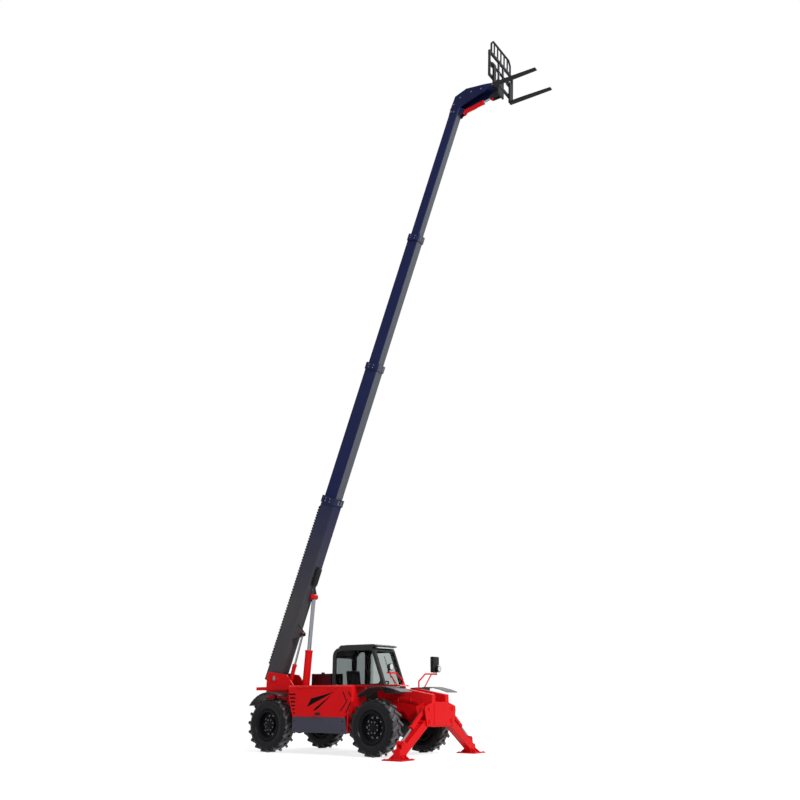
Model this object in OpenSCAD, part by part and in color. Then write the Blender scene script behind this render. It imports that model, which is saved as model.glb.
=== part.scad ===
// Telescopic handler with a four-section boom, standing on its front stabilisers with the boom up.
// Millimetres, +Z up, +X ahead, +Y to the machine's left; the origin is on the ground below the box centre.

/* [Wheels] */
// Distance between the axles
wheelbase = 2990; // [2800:10:3200]
// Distance between the tyre centres of one axle
track = 1936; // [1880:4:2000]
// Tyre diameter over the lugs
tyre_d = 1180; // [1120:10:1200]
// Tyre width over the sidewalls
tyre_w = 400; // [360:5:420]
// Diameter of the bead seat
rim_d = 610; // [560:5:640]
// Height of the tread lugs
lug_h = 34; // [20:1:45]

/* [Boom] */
// Boom angle above level as it stands
boom_angle = 68.8; // [60:0.1:70]
// Boom angle when it is stowed
boom_stowed = -4; // [-4:0.5:0]
// Length of the base section ahead of the pivot
boom_base_l = 4650; // [4500:10:4700]
// Bare length of each inner section when extended
boom_reach = 3630; // [3400:10:3700]
// Depth of the base section
boom_d = 456; // [440:2:470]
// Width of the base section
boom_w = 316; // [306:2:320]
// Loss of depth from a section to the next
boom_d_step = 60; // [52:2:62]
// Loss of width from a section to the next
boom_w_step = 32; // [30:2:34]
// Wall of every section
boom_wall = 9; // [6:1:10]

/* [Fork carriage] */
// Width of the carriage and backrest
carriage_w = 1300; // [1100:10:1400]
// Height of the backrest above the pivot
backrest_h = 1110; // [1000:10:1200]
// Length of a fork blade
fork_l = 1200; // [1000:10:1300]
// Distance between the fork centres
fork_pitch = 880; // [700:10:1000]
// Angle of the forks above level as it stands
fork_angle = -3; // [-5:0.5:0]

/* [Stabilisers] */
// Sideways distance of a foot from the middle
foot_y = 1453; // [1400:5:1500]
// Side of the square foot plate
foot_w = 480; // [400:5:500]

/* [Cab] */
// Inner side of the cab, beside the boom
cab_y0 = 272; // [268:2:300]
// Outer side of the cab
cab_y1 = 1130; // [1080:5:1150]
// Height of the roof
cab_top = 2390; // [2350:5:2420]
// Thickness of the cab walls and door
cab_wall = 45; // [36:1:50]

/* [Engine pod] */
// Outer side of the pod
pod_y = 1150; // [1100:5:1170]
// Height of the pod's top
pod_top = 1455; // [1420:5:1480]
// Thickness of the pod's panels
panel_t = 20; // [12:1:24]

/* [Clearances] */
// Gap between a pin and its bore
pin_gap = 0.3; // [0.2:0.05:0.5]
// Gap between a wear pad and the section that slides on it
pad_gap = 0.4; // [0.2:0.1:0.8]
// Gap around moving pieces
move_gap = 6; // [5:0.5:10]
// Gap between fixed pieces that only rest on each other
seat_gap = 0.3; // [0.2:0.1:0.5]

/* [Hidden] */
$fn = 48;
axle_x = wheelbase / 2;
tyre_r = tyre_d / 2;
wheel_z = tyre_r;
rim_r = rim_d / 2;
wheel_y = track / 2;
kingpin_y = wheel_y - 228;
wheel_y_in = wheel_y - tyre_w / 2;

dx = axle_x - 1495;
pivot_x = wx(-2150);
pivot_z = 1630;
boom_n = 174;
boom_lap = 950;
collar_l = 180;
collar_t = 26;
boom_pin_r = 45;

lift_base = [wx(-1450), 900];
lift_eye = [2145, -150];
lift_y = 70;
level_base = [wx(-1900), 1100];
level_eye = [1230, -300];
level_y = -90;

tip_s = boom_base_l + 3 * boom_reach;
head_s = tip_s - 15540;
tilt_pivot = [16205 + head_s, -892];
tilt_base = [15520 + head_s, -100];
tilt_eye = [-130, -288];
carriage_u = 110;
fork_z = -300;
fork_t = 45;
shaft_v = 330;
shaft_r = 32;

leg_x = wx(2410);
leg_hinge = [450, 710];
leg_ram = [470, 963];
leg_eye = [1365, 320];

frame_in = 210;
frame_out = 240;
nose_y = 340;
cab_x0 = wx(-745);
cab_floor_z = 790;
door_x0 = wx(-290);
pod_x0 = wx(-900);
pod_y0 = 262;
pod_z0 = 782;
cover_x0 = wx(-630);
cover_x1 = wx(620);
cover_z0 = 782;
cover_z1 = pod_top - 62;

function boom_xz(s, n, a = boom_angle) =
    [pivot_x + s * cos(a) - n * sin(a), pivot_z + s * sin(a) + n * cos(a)];
function dist2(p, q) = sqrt(pow(p[0] - q[0], 2) + pow(p[1] - q[1], 2));
function dir2(p, q) = atan2(q[1] - p[1], q[0] - p[0]);
function arc_pts(cx, cy, r, a0, a1, n) =
    [for (i = [0:n]) [cx + r * cos(a0 + (a1 - a0) * i / n), cy + r * sin(a0 + (a1 - a0) * i / n)]];
function wx(x) = x + dx * max(-1, min(1, x / 650));
function wp(p) = [for (q = p) [wx(q[0]), q[1]]];
function mean2(p) = [for (k = [0, 1]) [for (q = p) q[k]] * [for (q = p) 1] / len(p)];
function inset(p, k = 0.9985) = let (c = mean2(p)) [for (q = p) c + (q - c) * k];
function unit2(v) = v / norm(v);
function round_at(a, b, c, r, n) = let (
        u = unit2(a - b), v = unit2(c - b), h = acos(max(-1, min(1, u * v))) / 2,
        t = min(r / tan(h), 0.45 * min(norm(a - b), norm(c - b))), q = t * tan(h),
        m = b + unit2(u + v) * (q / sin(h)), p0 = b + u * t - m, p1 = b + v * t - m,
        a0 = atan2(p0[1], p0[0]), d = (atan2(p1[1], p1[0]) - a0 + 540) % 360 - 180)
    [for (k = [0:n]) m + q * [cos(a0 + d * k / n), sin(a0 + d * k / n)]];
function fillet(p, r, n = 4) = [for (i = [0:len(p) - 1])
    each round_at(p[(i + len(p) - 1) % len(p)], p[i], p[(i + 1) % len(p)], r, n)];
function sec_w(i) = boom_w - i * boom_w_step;
function sec_d(i) = boom_d - i * boom_d_step;

lift_top = boom_xz(lift_eye[0], lift_eye[1]);
lift_low = boom_xz(lift_eye[0], lift_eye[1], boom_stowed);
level_top = boom_xz(level_eye[0], level_eye[1]);
level_low = boom_xz(level_eye[0], level_eye[1], boom_stowed);
tilt_xz = boom_xz(tilt_pivot[0], tilt_pivot[1]);
fork_turn = fork_angle - boom_angle;
tilt_eye_sn = [tilt_pivot[0] + tilt_eye[0] * cos(fork_turn) - tilt_eye[1] * sin(fork_turn),
               tilt_pivot[1] + tilt_eye[0] * sin(fork_turn) + tilt_eye[1] * cos(fork_turn)];
tail_x = wx(-2450);
fork_u1 = carriage_u + 60 + fork_l;
front_x = tilt_xz[0] + fork_u1 * cos(fork_angle) - fork_z * sin(fork_angle);
rear_x = min(tail_x, boom_xz(-160, boom_n + boom_d / 2)[0]);
datum_x = (rear_x + front_x) / 2;

// Sub-part to draw

module datum() { translate([-datum_x, 0, 0]) children(); }
module in_boom() { datum() translate([pivot_x, 0, pivot_z]) rotate([0, -boom_angle, 0]) children(); }
module in_carriage() { datum() translate([tilt_xz[0], 0, tilt_xz[1]]) rotate([0, -fork_angle, 0]) children(); }
module side(s) { if (s > 0) children(); else mirror([0, 1, 0]) children(); }
module slab_xz(p, y0, y1) { translate([0, y1, 0]) rotate([90, 0, 0]) linear_extrude(y1 - y0) polygon(p); }
module body_xz(p, y0, y1) { slab_xz(wp(p), y0, y1); }
module slab_xy(p, z0, z1) { translate([0, 0, z0]) linear_extrude(z1 - z0) polygon(p); }
module slab_yz(p, x0, x1) { translate([x0, 0, 0]) rotate([90, 0, 90]) linear_extrude(x1 - x0) polygon(p); }
module box(x0, x1, y0, y1, z0, z1) { translate([x0, y0, z0]) cube([x1 - x0, y1 - y0, z1 - z0]); }
module body_box(x0, x1, y0, y1, z0, z1) { box(wx(x0), wx(x1), y0, y1, z0, z1); }
module pin_y(x, z, r, y0, y1) { translate([x, y0, z]) rotate([-90, 0, 0]) cylinder(h = y1 - y0, r = r); }
module pin_x(y, z, r, x0, x1) { translate([x0, y, z]) rotate([0, 90, 0]) cylinder(h = x1 - x0, r = r); }

function bevel_box(w, d, c, n) = [
    [-w / 2 + c, n - d / 2], [w / 2 - c, n - d / 2], [w / 2, n - d / 2 + c], [w / 2, n + d / 2 - c],
    [w / 2 - c, n + d / 2], [-w / 2 + c, n + d / 2], [-w / 2, n + d / 2 - c], [-w / 2, n - d / 2 + c]];

// Chassis
nose_raw = 2410 - 117 - seat_gap;
side_plate = [[-2330, 800], [-2420, 1120], [-2425, 1700], [-2350, 1790], [-1775, 1715], [-1545, 1476],
    [-1250, 1080], [980, 1080], [1080, 1330], [1750, 1385], [nose_raw, 1295], [nose_raw, 640], [1950, 610],
    [1760, 770], [1230, 770], [1010, 455], [-1010, 455], [-1230, 770], [-1760, 770], [-2100, 800]];
nose_block = [[1080, 900], [1080, 1330], [1750, 1385], [nose_raw, 1295], [nose_raw, 700], [1950, 700], [1780, 900]];

module chassis_frame() color("red") datum() {
    difference() {
        union() {
            for (s = [-1, 1]) side(s) body_xz(side_plate, frame_in, frame_out);
            body_box(-1000, 1000, -frame_in - 1, frame_in + 1, 455, 475);
            body_box(1000, nose_raw, -frame_in - 1, frame_in + 1, 1060, 1080);
            body_box(1000, 1020, -frame_in - 1, frame_in + 1, 470, 1080);
            body_box(1760, 1780, -frame_in - 1, frame_in + 1, 790, 1070);
            body_box(-2400, -2380, -frame_in - 1, frame_in + 1, 1000, 1250);
            for (s = [-1, 1]) side(s) body_xz(nose_block, frame_out - 1, nose_y);
            pin_y(lift_base[0], lift_base[1], 40, -frame_in - 1, frame_in + 1);
            pin_y(level_base[0], level_base[1], 30, -frame_in - 1, frame_in + 1);
            pin_y(pivot_x, pivot_z, boom_pin_r, -frame_in - 1, frame_in + 1);
            for (s = [-1, 1]) side(s) {
                pin_y(pivot_x, pivot_z, 95, frame_out - 1, frame_out + 18);
                pin_y(lift_base[0], lift_base[1], 70, frame_out - 1, frame_out + 14);
                pin_y(level_base[0], level_base[1], 60, frame_out - 1, frame_out + 14);
            }
        }
        for (x = [-900, 900]) pin_y(wx(x), 560, 30, -frame_out - 1, frame_out + 1);
    }
}

frame_plate = [[-290, 1105], [290, 1105], [610, 1015], [620, 930], [545, 630], [300, 600],
    [-300, 600], [-545, 630], [-620, 930], [-610, 1015]];
face_plate = fillet([[-270, 640], [270, 640], [270, 1090], [-270, 1090]], 30);

module stabiliser_frame() color("red") datum() {
    slab_yz(frame_plate, leg_x + 92, leg_x + 117);
    slab_yz(face_plate, leg_x + 116, leg_x + 128);
    slab_yz(frame_plate, leg_x - 117, leg_x - 92);
    box(leg_x - 100, leg_x + 100, -300, 300, 620, 640);
    for (s = [-1, 1]) side(s)
        slab_xz([[leg_x - 117, 1000], [leg_x - 117, 1295], [leg_x + 110, 1256], [leg_x + 117, 1000]], frame_in, nose_y);
    for (s = [-1, 1]) side(s) {
        pin_x(leg_hinge[0], leg_hinge[1], 32, leg_x - 117, leg_x + 130);
        pin_x(leg_ram[0], leg_ram[1], 26, leg_x - 117, leg_x + 130);
        pin_x(leg_hinge[0], leg_hinge[1], 55, leg_x + 116, leg_x + 126);
        pin_x(leg_ram[0], leg_ram[1], 46, leg_x + 116, leg_x + 126);
    }
}

module counterweight() color("dimgray") datum()
    difference() {
        body_xz([[-2330, 560], [-2390, 1130], [-2450, 1130], [-2450, 640], [-2400, 560]], -560, 560);
        body_box(-2500, -2300, -frame_out - seat_gap, frame_out + seat_gap, 700, 1150);
    }

module axle(x) {
    translate([x, 0, wheel_z]) {
        difference() {
            union() {
                rotate([90, 0, 0]) rotate_extrude()
                    polygon([[0, -260], [95, -260], [185, -110], [200, 0], [185, 110], [95, 260], [0, 260]]);
                pin_y(0, 0, 78, -kingpin_y + 90, kingpin_y - 90);
                for (s = [-1, 1]) side(s) {
                    box(-60, 60, kingpin_y - 130, kingpin_y - 85, -126, 126);
                    for (k = [-1, 1]) translate([0, 0, k * 110]) {
                        box(-60, 60, kingpin_y - 130, kingpin_y, -16, 16);
                        translate([0, kingpin_y, -16]) cylinder(h = 32, r = 60);
                    }
                    box(-110, 110, frame_in - 20, frame_out + 20, 40, 770 - wheel_z);
                }
            }
            for (s = [-1, 1]) side(s)
                translate([0, kingpin_y, -150]) cylinder(h = 300, r = 25 + pin_gap);
        }
    }
}

module axles() color("dimgray") datum() { axle(axle_x); axle(-axle_x); }

// Engine side
module engine() color("gray") datum() body_box(-560, 560, -980, -frame_out - seat_gap, 800, 1330);

pod_side = [[-900, pod_top], [-900, 1290], [-720, pod_z0], [770, pod_z0], [830, 863], [1010, 1157],
    [1160, pod_top - 60], [1160, pod_top]];
pod_deck = [[600, pod_top - 30], [600, pod_top], [1900, pod_top], [1940, pod_top - 30]];
hinge_x = [cover_x0 + 220, cover_x1 - 220];
hinge_y = -pod_y - 3;
hinge_z = cover_z1 + move_gap / 2;
groove = [[[712, 1320], [728, 1320], [838, 1118], [668, 915], [652, 915], [820, 1118]],
    [[872, 1320], [888, 1320], [1000, 1157], [826, 880], [806, 868], [982, 1157]]];
inlet = [[[-315, 985], [-190, 1170], [490, 1318]], [[-140, 900], [-45, 985], [455, 1286], [0, 945]]];

module pod_plan(z0, z1) slab_xy(wp([[-920, -pod_y0], [-920, -pod_y + 60], [-860, -pod_y], [965, -pod_y],
    [1000, -pod_y + 36], [700, -880], [700, -pod_y0]]), z0, z1);

module engine_pod() color("red") {
    cover_pins();
    datum() difference() {
        union() {
            difference() {
                intersection() {
                    body_xz(pod_side, -pod_y, -pod_y0);
                    pod_plan(700, pod_top);
                }
                body_box(-690, 660, -pod_y + panel_t, 0, 700, pod_top - panel_t);
            }
            body_xz(pod_deck, -690, -nose_y - seat_gap);
            slab_xy(wp([[844, -pod_y], [858, -pod_y], [843, -1078], [769, -896], [755.5, -896], [828.6, -1079]]), 470, 905);
        }
        box(cover_x0 - move_gap, cover_x1 + move_gap, -pod_y - 1, -pod_y + panel_t + 1,
            cover_z0 - 1, cover_z1 + move_gap);
        for (x = hinge_x) pin_x(hinge_y, hinge_z, 15, x - 66, x + 66);
        slab_yz([[-pod_y - 1, pod_top - 34], [-pod_y - 1, pod_top + 1], [-pod_y + 62, pod_top + 1]], pod_x0 - 50, wx(1100));
        for (i = [0:5]) {
            z = 842 + i * 80;
            x0 = -900 + max(0, 1290 - z) * 0.354 + 28;
            body_xz([[x0, z], [x0 - 6, z + 34], [-662, z + 34], [-662, z]], -pod_y - 1, -pod_y + 16);
        }
        for (g = groove) body_xz(g, -pod_y - 1, -pod_y + 6);
    }
}

module cover_pins() color("red") datum() for (x = hinge_x) {
    pin_x(hinge_y, hinge_z, 5, x - 125, x + 125);
    for (k = [-1, 1]) {
        pin_x(hinge_y, hinge_z, 10, x + k * 95 - 28, x + k * 95 + 28);
        box(x + k * 95 - 28, x + k * 95 + 28, hinge_y - 4, -pod_y + 8, hinge_z, pod_top - 36);
    }
}

module engine_cover() color("red") datum() difference() {
    union() {
        box(cover_x0, cover_x1, -pod_y, -pod_y + panel_t, cover_z0 + 4, cover_z1);
        body_box(-45, 75, -pod_y - 12, -pod_y + 2, 832, 872);
        for (x = hinge_x) {
            pin_x(hinge_y, hinge_z, 10, x - 60, x + 60);
            box(x - 60, x + 60, hinge_y - 6, -pod_y + 6, cover_z1 - 40, hinge_z - 2);
        }
    }
    for (x = hinge_x) {
        pin_x(hinge_y, hinge_z, 5 + pin_gap, x - 130, x + 130);
        for (k = [-1, 1]) pin_x(hinge_y, hinge_z, 15, x + k * 95 - 33, x + k * 95 + 33);
    }
    for (p = inlet) body_xz(p, -pod_y - 1, -pod_y + 10);
}

// Dark grilles in the two slanted air inlets of the cover
module cover_inlets() color("#15171a") datum() for (p = inlet) difference() {
    body_xz(inset(p, 0.99), -pod_y + 2, -pod_y + 10 - seat_gap);
    for (i = [0:9]) body_box(-400, 600, -pod_y + 1, -pod_y + 6, 905 + i * 42, 923 + i * 42);
}

module side_tanks() color("#30343c") datum() {
    intersection() {
        body_xz([[-720, 470], [-700, 455], [820, 455], [843, 480], [780, pod_z0 - seat_gap], [-720, pod_z0 - seat_gap]],
            -pod_y, -frame_out);
        slab_xy(wp([[-800, -pod_y - 1], [843, -pod_y - 1], [828, -1080], [755, -900], [755, 0], [-800, 0]]), 400, 900);
    }
    difference() {
        body_xz([[-700, 470], [-680, 455], [680, 455], [700, 480], [700, cab_floor_z - seat_gap],
            [-700, cab_floor_z - seat_gap]], frame_out, cab_y1 - 130);
        body_box(-160, 360, cab_y1 - 300, cab_y1 - 129, 500, 600);
        body_box(-160, 360, cab_y1 - 230, cab_y1 - 129, 640, 730);
    }
}

module rear_decks() color("red") datum() {
    body_xz([[-2240, 1350], [-2240, 1420], [-1000, 1450], [-921, 1450], [-921, 1390], [-1400, 1350]],
        -780, -frame_out);
    body_xz([[-2240, 1350], [-2240, 1420], [-1000, 1450], [-780, 1450], [-780, 1390], [-1400, 1350]],
        frame_out, 780);
}

module oil_box() color("#401418") datum() body_box(-1420, -800, 300, 760, 1450 + seat_gap, 1725);

fender = concat([[1100, 1215]], [[1171, 1276], [1400, 1390], [1635, 1424], [1850, 1415], [2069, 1371], [2256, 1312]],
    [[2256, 1300], [2069, 1358], [1850, 1402], [1635, 1411], [1400, 1377], [1171, 1263], [1110, 1208]]);

module front_fenders() color("#202226") datum() for (s = [-1, 1]) side(s) {
    body_xz(fender, 700, pod_y);
    body_xz([[1500, 1280], [1500, 1400], [1700, 1410], [1800, 1406], [1800, 1280]], nose_y, 701);
}

// Cab
cab_bend = 200;
cab_bend_z = cab_top - 60 - cab_bend;
cab_out = concat([[-720, cab_floor_z], [690, cab_floor_z], [715, 960], [850, 1385], [505, 2270], [440, cab_top - 60]],
    arc_pts(-745 + cab_bend, cab_bend_z, cab_bend, 90, 180, 6), [[-745, 1500], [-720, 960]]);
cab_window = concat(arc_pts(-500, cab_bend_z - 15, 150, 90, 180, 6), arc_pts(-580, 1540, 70, 180, 270, 4),
    arc_pts(600, 1590, 90, 275, 380, 4), arc_pts(370, 2185, 80, 20, 90, 4));

module cab_floor() color("#24262b") datum()
    body_box(-719, 654.7, cab_y0 + cab_wall, cab_y1 - cab_wall - 2 * move_gap, cab_floor_z, cab_floor_z + 50);

quarter_window = fillet([[-650, 1420], [-370, 1420], [-370, 2255], [-530, 2255], [-650, 2130]], 60);
door_hinge_x = door_x0 - move_gap / 2;
door_hinge_y = cab_y1 + 15;
door_hinge_z = [1060, 2000];

module cab_sides() color("#202226") datum() {
    difference() {
        body_xz(cab_out, cab_y0, cab_y0 + cab_wall);
        body_xz(cab_window, cab_y0 - 1, cab_y0 + cab_wall + 1);
    }
    intersection() {
        difference() {
            body_xz(cab_out, cab_y1 - cab_wall, cab_y1);
            body_xz(quarter_window, cab_y1 - cab_wall - 1, cab_y1 + 1);
        }
        box(cab_x0 - 50, door_x0 - move_gap, cab_y1 - cab_wall, cab_y1, 700, 2500);
    }
    for (z = door_hinge_z) translate([door_hinge_x, door_hinge_y, z]) {
        translate([0, 0, -70]) cylinder(h = 140, r = 6);
        for (k = [-1, 1]) translate([0, 0, k * 50 - 20]) {
            cylinder(h = 40, r = 13);
            box(-60, 0, -16, 8, 0, 40);
        }
    }
}

module cab_ends() color("#202226") datum() {
    difference() {
        body_xz([[655, cab_floor_z], [690, cab_floor_z], [715, 960], [850, 1385], [505, 2270], [462, 2328],
            [420, 2328], [455, 2270], [800, 1385], [670, 960]], cab_y0 + cab_wall, cab_y1);
        body_xz([[900, 1415], [780, 1415], [440, 2235], [560, 2235]], cab_y0 + cab_wall + 40, cab_y1 - 60);
    }
    difference() {
        body_xz(concat([[-720, cab_floor_z + 50], [-680, cab_floor_z + 50], [-680, 960], [-700, 1500]],
            arc_pts(-745 + cab_bend, cab_bend_z, cab_bend - 45, 180, 95, 6),
            arc_pts(-745 + cab_bend, cab_bend_z, cab_bend, 95, 180, 6), [[-745, 1500], [-720, 960]]),
            cab_y0 + cab_wall, cab_y1 - cab_wall);
        slab_yz(fillet(rear_window, 60), cab_x0 - 60, cab_x0 + 150);
    }
}

rear_window = [[cab_y0 + cab_wall + 50, 1420], [cab_y1 - cab_wall - 50, 1420], [cab_y1 - cab_wall - 50, 2100],
    [cab_y0 + cab_wall + 50, 2100]];

module cab_roof() color("#202226") datum()
    body_xz([[-530, cab_top - 60], [-575, cab_top - 50], [-500, cab_top], [480, cab_top], [575, cab_top - 25],
        [560, cab_top - 50], [460, cab_top - 60]], cab_y0, cab_y1);

module cab_glass() color("#8fa3ad") datum() {
    body_xz(inset(cab_window), cab_y0 + 20, cab_y0 + 26);
    body_xz([[820, 1416], [812, 1416], [478, 2234], [486, 2234]], cab_y0 + cab_wall + 40.3, cab_y1 - 60.3);
    slab_yz(inset(fillet(rear_window, 60)), cab_x0 + 20, cab_x0 + 26);
    body_xz(inset(quarter_window), cab_y1 - 26, cab_y1 - 20);
}

module seat() color("#26282c") datum() translate([0, (cab_y0 + cab_y1) / 2, 0]) {
    body_box(-420, 60, -240, 240, cab_floor_z + 50, 1130);
    body_box(-440, 90, -260, 260, 1130, 1240);
    body_xz([[-440, 1240], [-300, 1240], [-380, 1820], [-480, 1820]], -230, 230);
}

module controls() color("#26282c") datum() translate([0, (cab_y0 + cab_y1) / 2, 0]) {
    body_xz([[480, cab_floor_z + 50], [655, cab_floor_z + 50], [668, 960], [700, 1100], [640, 1330], [480, 1330]],
        -200, 200);
    translate([wx(520), 0, 1320]) rotate([0, -30, 0]) {
        cylinder(h = 160, r = 28);
        translate([0, 0, 150]) difference() {
            cylinder(h = 26, r = 185);
            translate([0, 0, -1]) cylinder(h = 28, r = 160);
        }
        translate([-10, -165, 152]) cube([20, 330, 18]);
    }
}

door_window = fillet([[-220, 1000], [560, 1000], [700, 1400], [390, 2220], [-220, 2220]], 70);

module cab_door() color("#202226") datum() difference() {
    union() {
        difference() {
            intersection() {
                body_xz(cab_out, cab_y1 - cab_wall, cab_y1);
                box(door_x0, wx(900), cab_y1 - cab_wall, cab_y1, cab_floor_z + 10, cab_top - 70);
                body_xz([[-300, 700], [628, 700], [648, 960], [780, 1385], [436, 2270], [404, 2320], [404, 2400],
                    [-300, 2400]], cab_y1 - cab_wall - 1, cab_y1 + 1);
            }
            body_xz(door_window, cab_y1 - cab_wall - 1, cab_y1 + 1);
        }
        for (z = door_hinge_z) translate([door_hinge_x, door_hinge_y, z - 27]) {
            cylinder(h = 54, r = 13);
            box(0, 62, -16, 8, 0, 54);
        }
    }
    for (z = door_hinge_z) translate([door_hinge_x, door_hinge_y, z - 40]) cylinder(h = 80, r = 6 + pin_gap);
}

module door_glass() color("#8fa3ad") datum() body_xz(inset(door_window), cab_y1 - 26, cab_y1 - 20);

lamp_z = 1705;
lamp_x = 1750 + dx;
lamp_y = [-890, 1052];

// A tube from one point of the cross plane to another
module cross_tube(p, q, r) translate([0, p[0], p[1]]) rotate([atan2(p[0] - q[0], q[1] - p[1]), 0, 0])
    cylinder(h = dist2(p, q), r = r);

module lamp_bracket(end, foot_z) translate([lamp_x, 0, 0]) {
    r = 17;
    cross_tube([316, 1385 + seat_gap], [316, 1540], r);
    cross_tube([316, 1540], [590, lamp_z], r);
    cross_tube([590, lamp_z], [end, lamp_z], r);
    cross_tube([560, foot_z + 10.3], [850, lamp_z], r - 3);
    for (p = [[316, 1540], [590, lamp_z]]) translate([0, p[0], p[1]]) sphere(r = r + 0.5);
}

module lamp_brackets() color("red") datum() {
    side(-1) lamp_bracket(-lamp_y[0] + 30, pod_top);
    lamp_bracket(lamp_y[1] + 25, 1408.6);
    translate([lamp_x, 958, lamp_z]) cylinder(h = 350, r = 12);
}

module head_lamp(y) {
    translate([lamp_x - 11, y, lamp_z + 117]) rotate([0, 90, 0]) rotate_extrude()
        polygon([[0, 0], [34, 0], [60, 26], [72, 62], [72, 92], [64, 100], [0, 104]]);
    translate([lamp_x, y, lamp_z + 17 + seat_gap]) cylinder(h = 60, r = 11);
}

module lamps() color("#e6e8ea") datum() {
    for (y = lamp_y) head_lamp(y);
    for (s = [-1, 1]) side(s) box(tail_x, tail_x + 60, 400, 520, 1130 + seat_gap, 1230);
}

module mirror_piece() color("#15171a") datum()
    slab_yz(fillet([[905, 1742], [1150, 1742], [1168, 2100], [905, 2100]], 30), lamp_x - 62, lamp_x - 12 - seat_gap);

// Wheels
lug_n = 18;
lug_lean = 35;
lug_half = 100;
lug_top = sqrt(pow(tyre_r, 2) - pow(lug_half * sin(lug_lean) + 27 * cos(lug_lean), 2));
carcass_r = tyre_r - lug_h;

module tyre() rotate([90, 0, 0]) {
    rotate_extrude($fn = 96)
        polygon(concat([[rim_r + seat_gap, -151], [rim_r + 32, -151], [rim_r + 60, -tyre_w / 2 + 14],
            [rim_r + 125, -tyre_w / 2], [carcass_r - 72, -tyre_w / 2 + 4], [carcass_r - 26, -tyre_w / 2 + 26],
            [carcass_r - 5, -tyre_w / 2 + 70], [carcass_r, -tyre_w / 2 + 130]],
            [[carcass_r, tyre_w / 2 - 130], [carcass_r - 5, tyre_w / 2 - 70], [carcass_r - 26, tyre_w / 2 - 26],
            [carcass_r - 72, tyre_w / 2 - 4], [rim_r + 125, tyre_w / 2], [rim_r + 60, tyre_w / 2 - 14],
            [rim_r + 32, 151], [rim_r + seat_gap, 151]]));
    for (k = [-1, 1]) for (i = [0:lug_n - 1]) rotate([0, 0, (i + (k + 1) / 4) * 360 / lug_n])
        translate([0, 0, k * tyre_w / 4]) rotate([k * lug_lean, 0, 0])
            box(carcass_r - 66, lug_top, -27, 27, -lug_half, lug_half);
}

module rim() rotate([-90, 0, 0]) rotate_extrude($fn = 96)
    polygon([[56 + pin_gap, -88], [110, -88], [110, 0], [rim_r - 24, 20], [rim_r - 24, -166], [rim_r + 26, -166],
        [rim_r + 26, -152], [rim_r, -152], [rim_r, 152], [rim_r + 26, 152], [rim_r + 26, 166], [rim_r - 24, 166],
        [rim_r - 24, 48], [200, 34], [176, 52], [150, 52], [140, 95], [60, 110], [0, 110], [0, 60],
        [56 + pin_gap, 60]]);

module at_wheel(fx, s) datum() translate([fx * axle_x, s * wheel_y, wheel_z]) side(s) children();

module knuckle(fender) {
    ky = kingpin_y - wheel_y;
    translate([0, ky, 0]) {
        translate([0, 0, -86]) cylinder(h = 172, r = 76);
        translate([0, 0, -132]) cylinder(h = 264, r = 25);
        pin_y(0, 0, 72, 0, 135);
        pin_y(0, 0, 56, 0, wheel_y - kingpin_y + 50);
    }
    if (fender) {
        r = tyre_r + 115;
        slab_xz(concat(arc_pts(0, 0, r, 62, 144, 10), arc_pts(0, 0, r + 12, 144, 62, 10)), -tyre_w / 2, tyre_w / 2 - 10);
        box(-165, 0, ky - 13, ky + 13, 10, 70);
        box(-165, -115, ky - 13, ky + 13, 10, r - 20);
        box(-165, -115, ky - 13, ky + 70, r - 50, r - 12);
    }
}

// Boom
module boom_tube(i, s0, s1) difference() {
    slab_yz(bevel_box(sec_w(i), sec_d(i), 16, boom_n), s0, s1);
    slab_yz(bevel_box(sec_w(i) - 2 * boom_wall, sec_d(i) - 2 * boom_wall, 12, boom_n), s0 - 1, s1 + 1);
}

module collar(i, s1) {
    w = sec_w(i + 1);
    d = sec_d(i + 1);
    difference() {
        slab_yz(bevel_box(sec_w(i) + 2 * collar_t, sec_d(i) + 2 * collar_t, 34, boom_n), s1 - collar_l, s1);
        slab_yz(bevel_box(w + 14, d + 14, 20, boom_n), s1 - collar_l - 1, s1 + 1);
    }
    for (k = [-1, 1]) {
        box(s1 - 120, s1 - 20, -w / 4, w / 4, boom_n + k * (d / 2 + pad_gap + 6) - 6, boom_n + k * (d / 2 + pad_gap + 6) + 6);
        translate([0, k * (w / 2 + pad_gap + 5), 0]) box(s1 - 120, s1 - 20, -5, 5, boom_n - d / 4, boom_n + d / 4);
    }
}

module lug(s, n, y, half, t, r, s0, s1) for (k = [-1, 1]) {
    y0 = y + k * (half + t / 2) - t / 2;
    difference() {
        union() {
            slab_xz([[s0, boom_n - boom_d / 2 + 7], [s1, boom_n - boom_d / 2 + 7], [s + r, n], [s - r, n]], y0, y0 + t);
            pin_y(s, n, r, y0, y0 + t);
        }
    }
}

// Pipes along the back of the base section, with their clamps
module boom_pipes() {
    n = boom_n + boom_d / 2;
    s1 = boom_base_l - collar_l - 140;
    for (y = [-72, -28, 40]) translate([0, y, n + 22]) {
        pin_x(0, 0, 13, 240, s1);
        for (s = [240, s1]) {
            translate([s, 0, 0]) sphere(r = 13.4);
            translate([s, 0, -30]) cylinder(h = 30, r = 13);
        }
    }
    for (i = [0:4]) translate([420 + i * (s1 - 700) / 4, 0, 0]) {
        box(0, 70, -100, 70, n - 2, n + 14);
        box(8, 62, -94, 64, n + 10, n + 40);
    }
}

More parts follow.
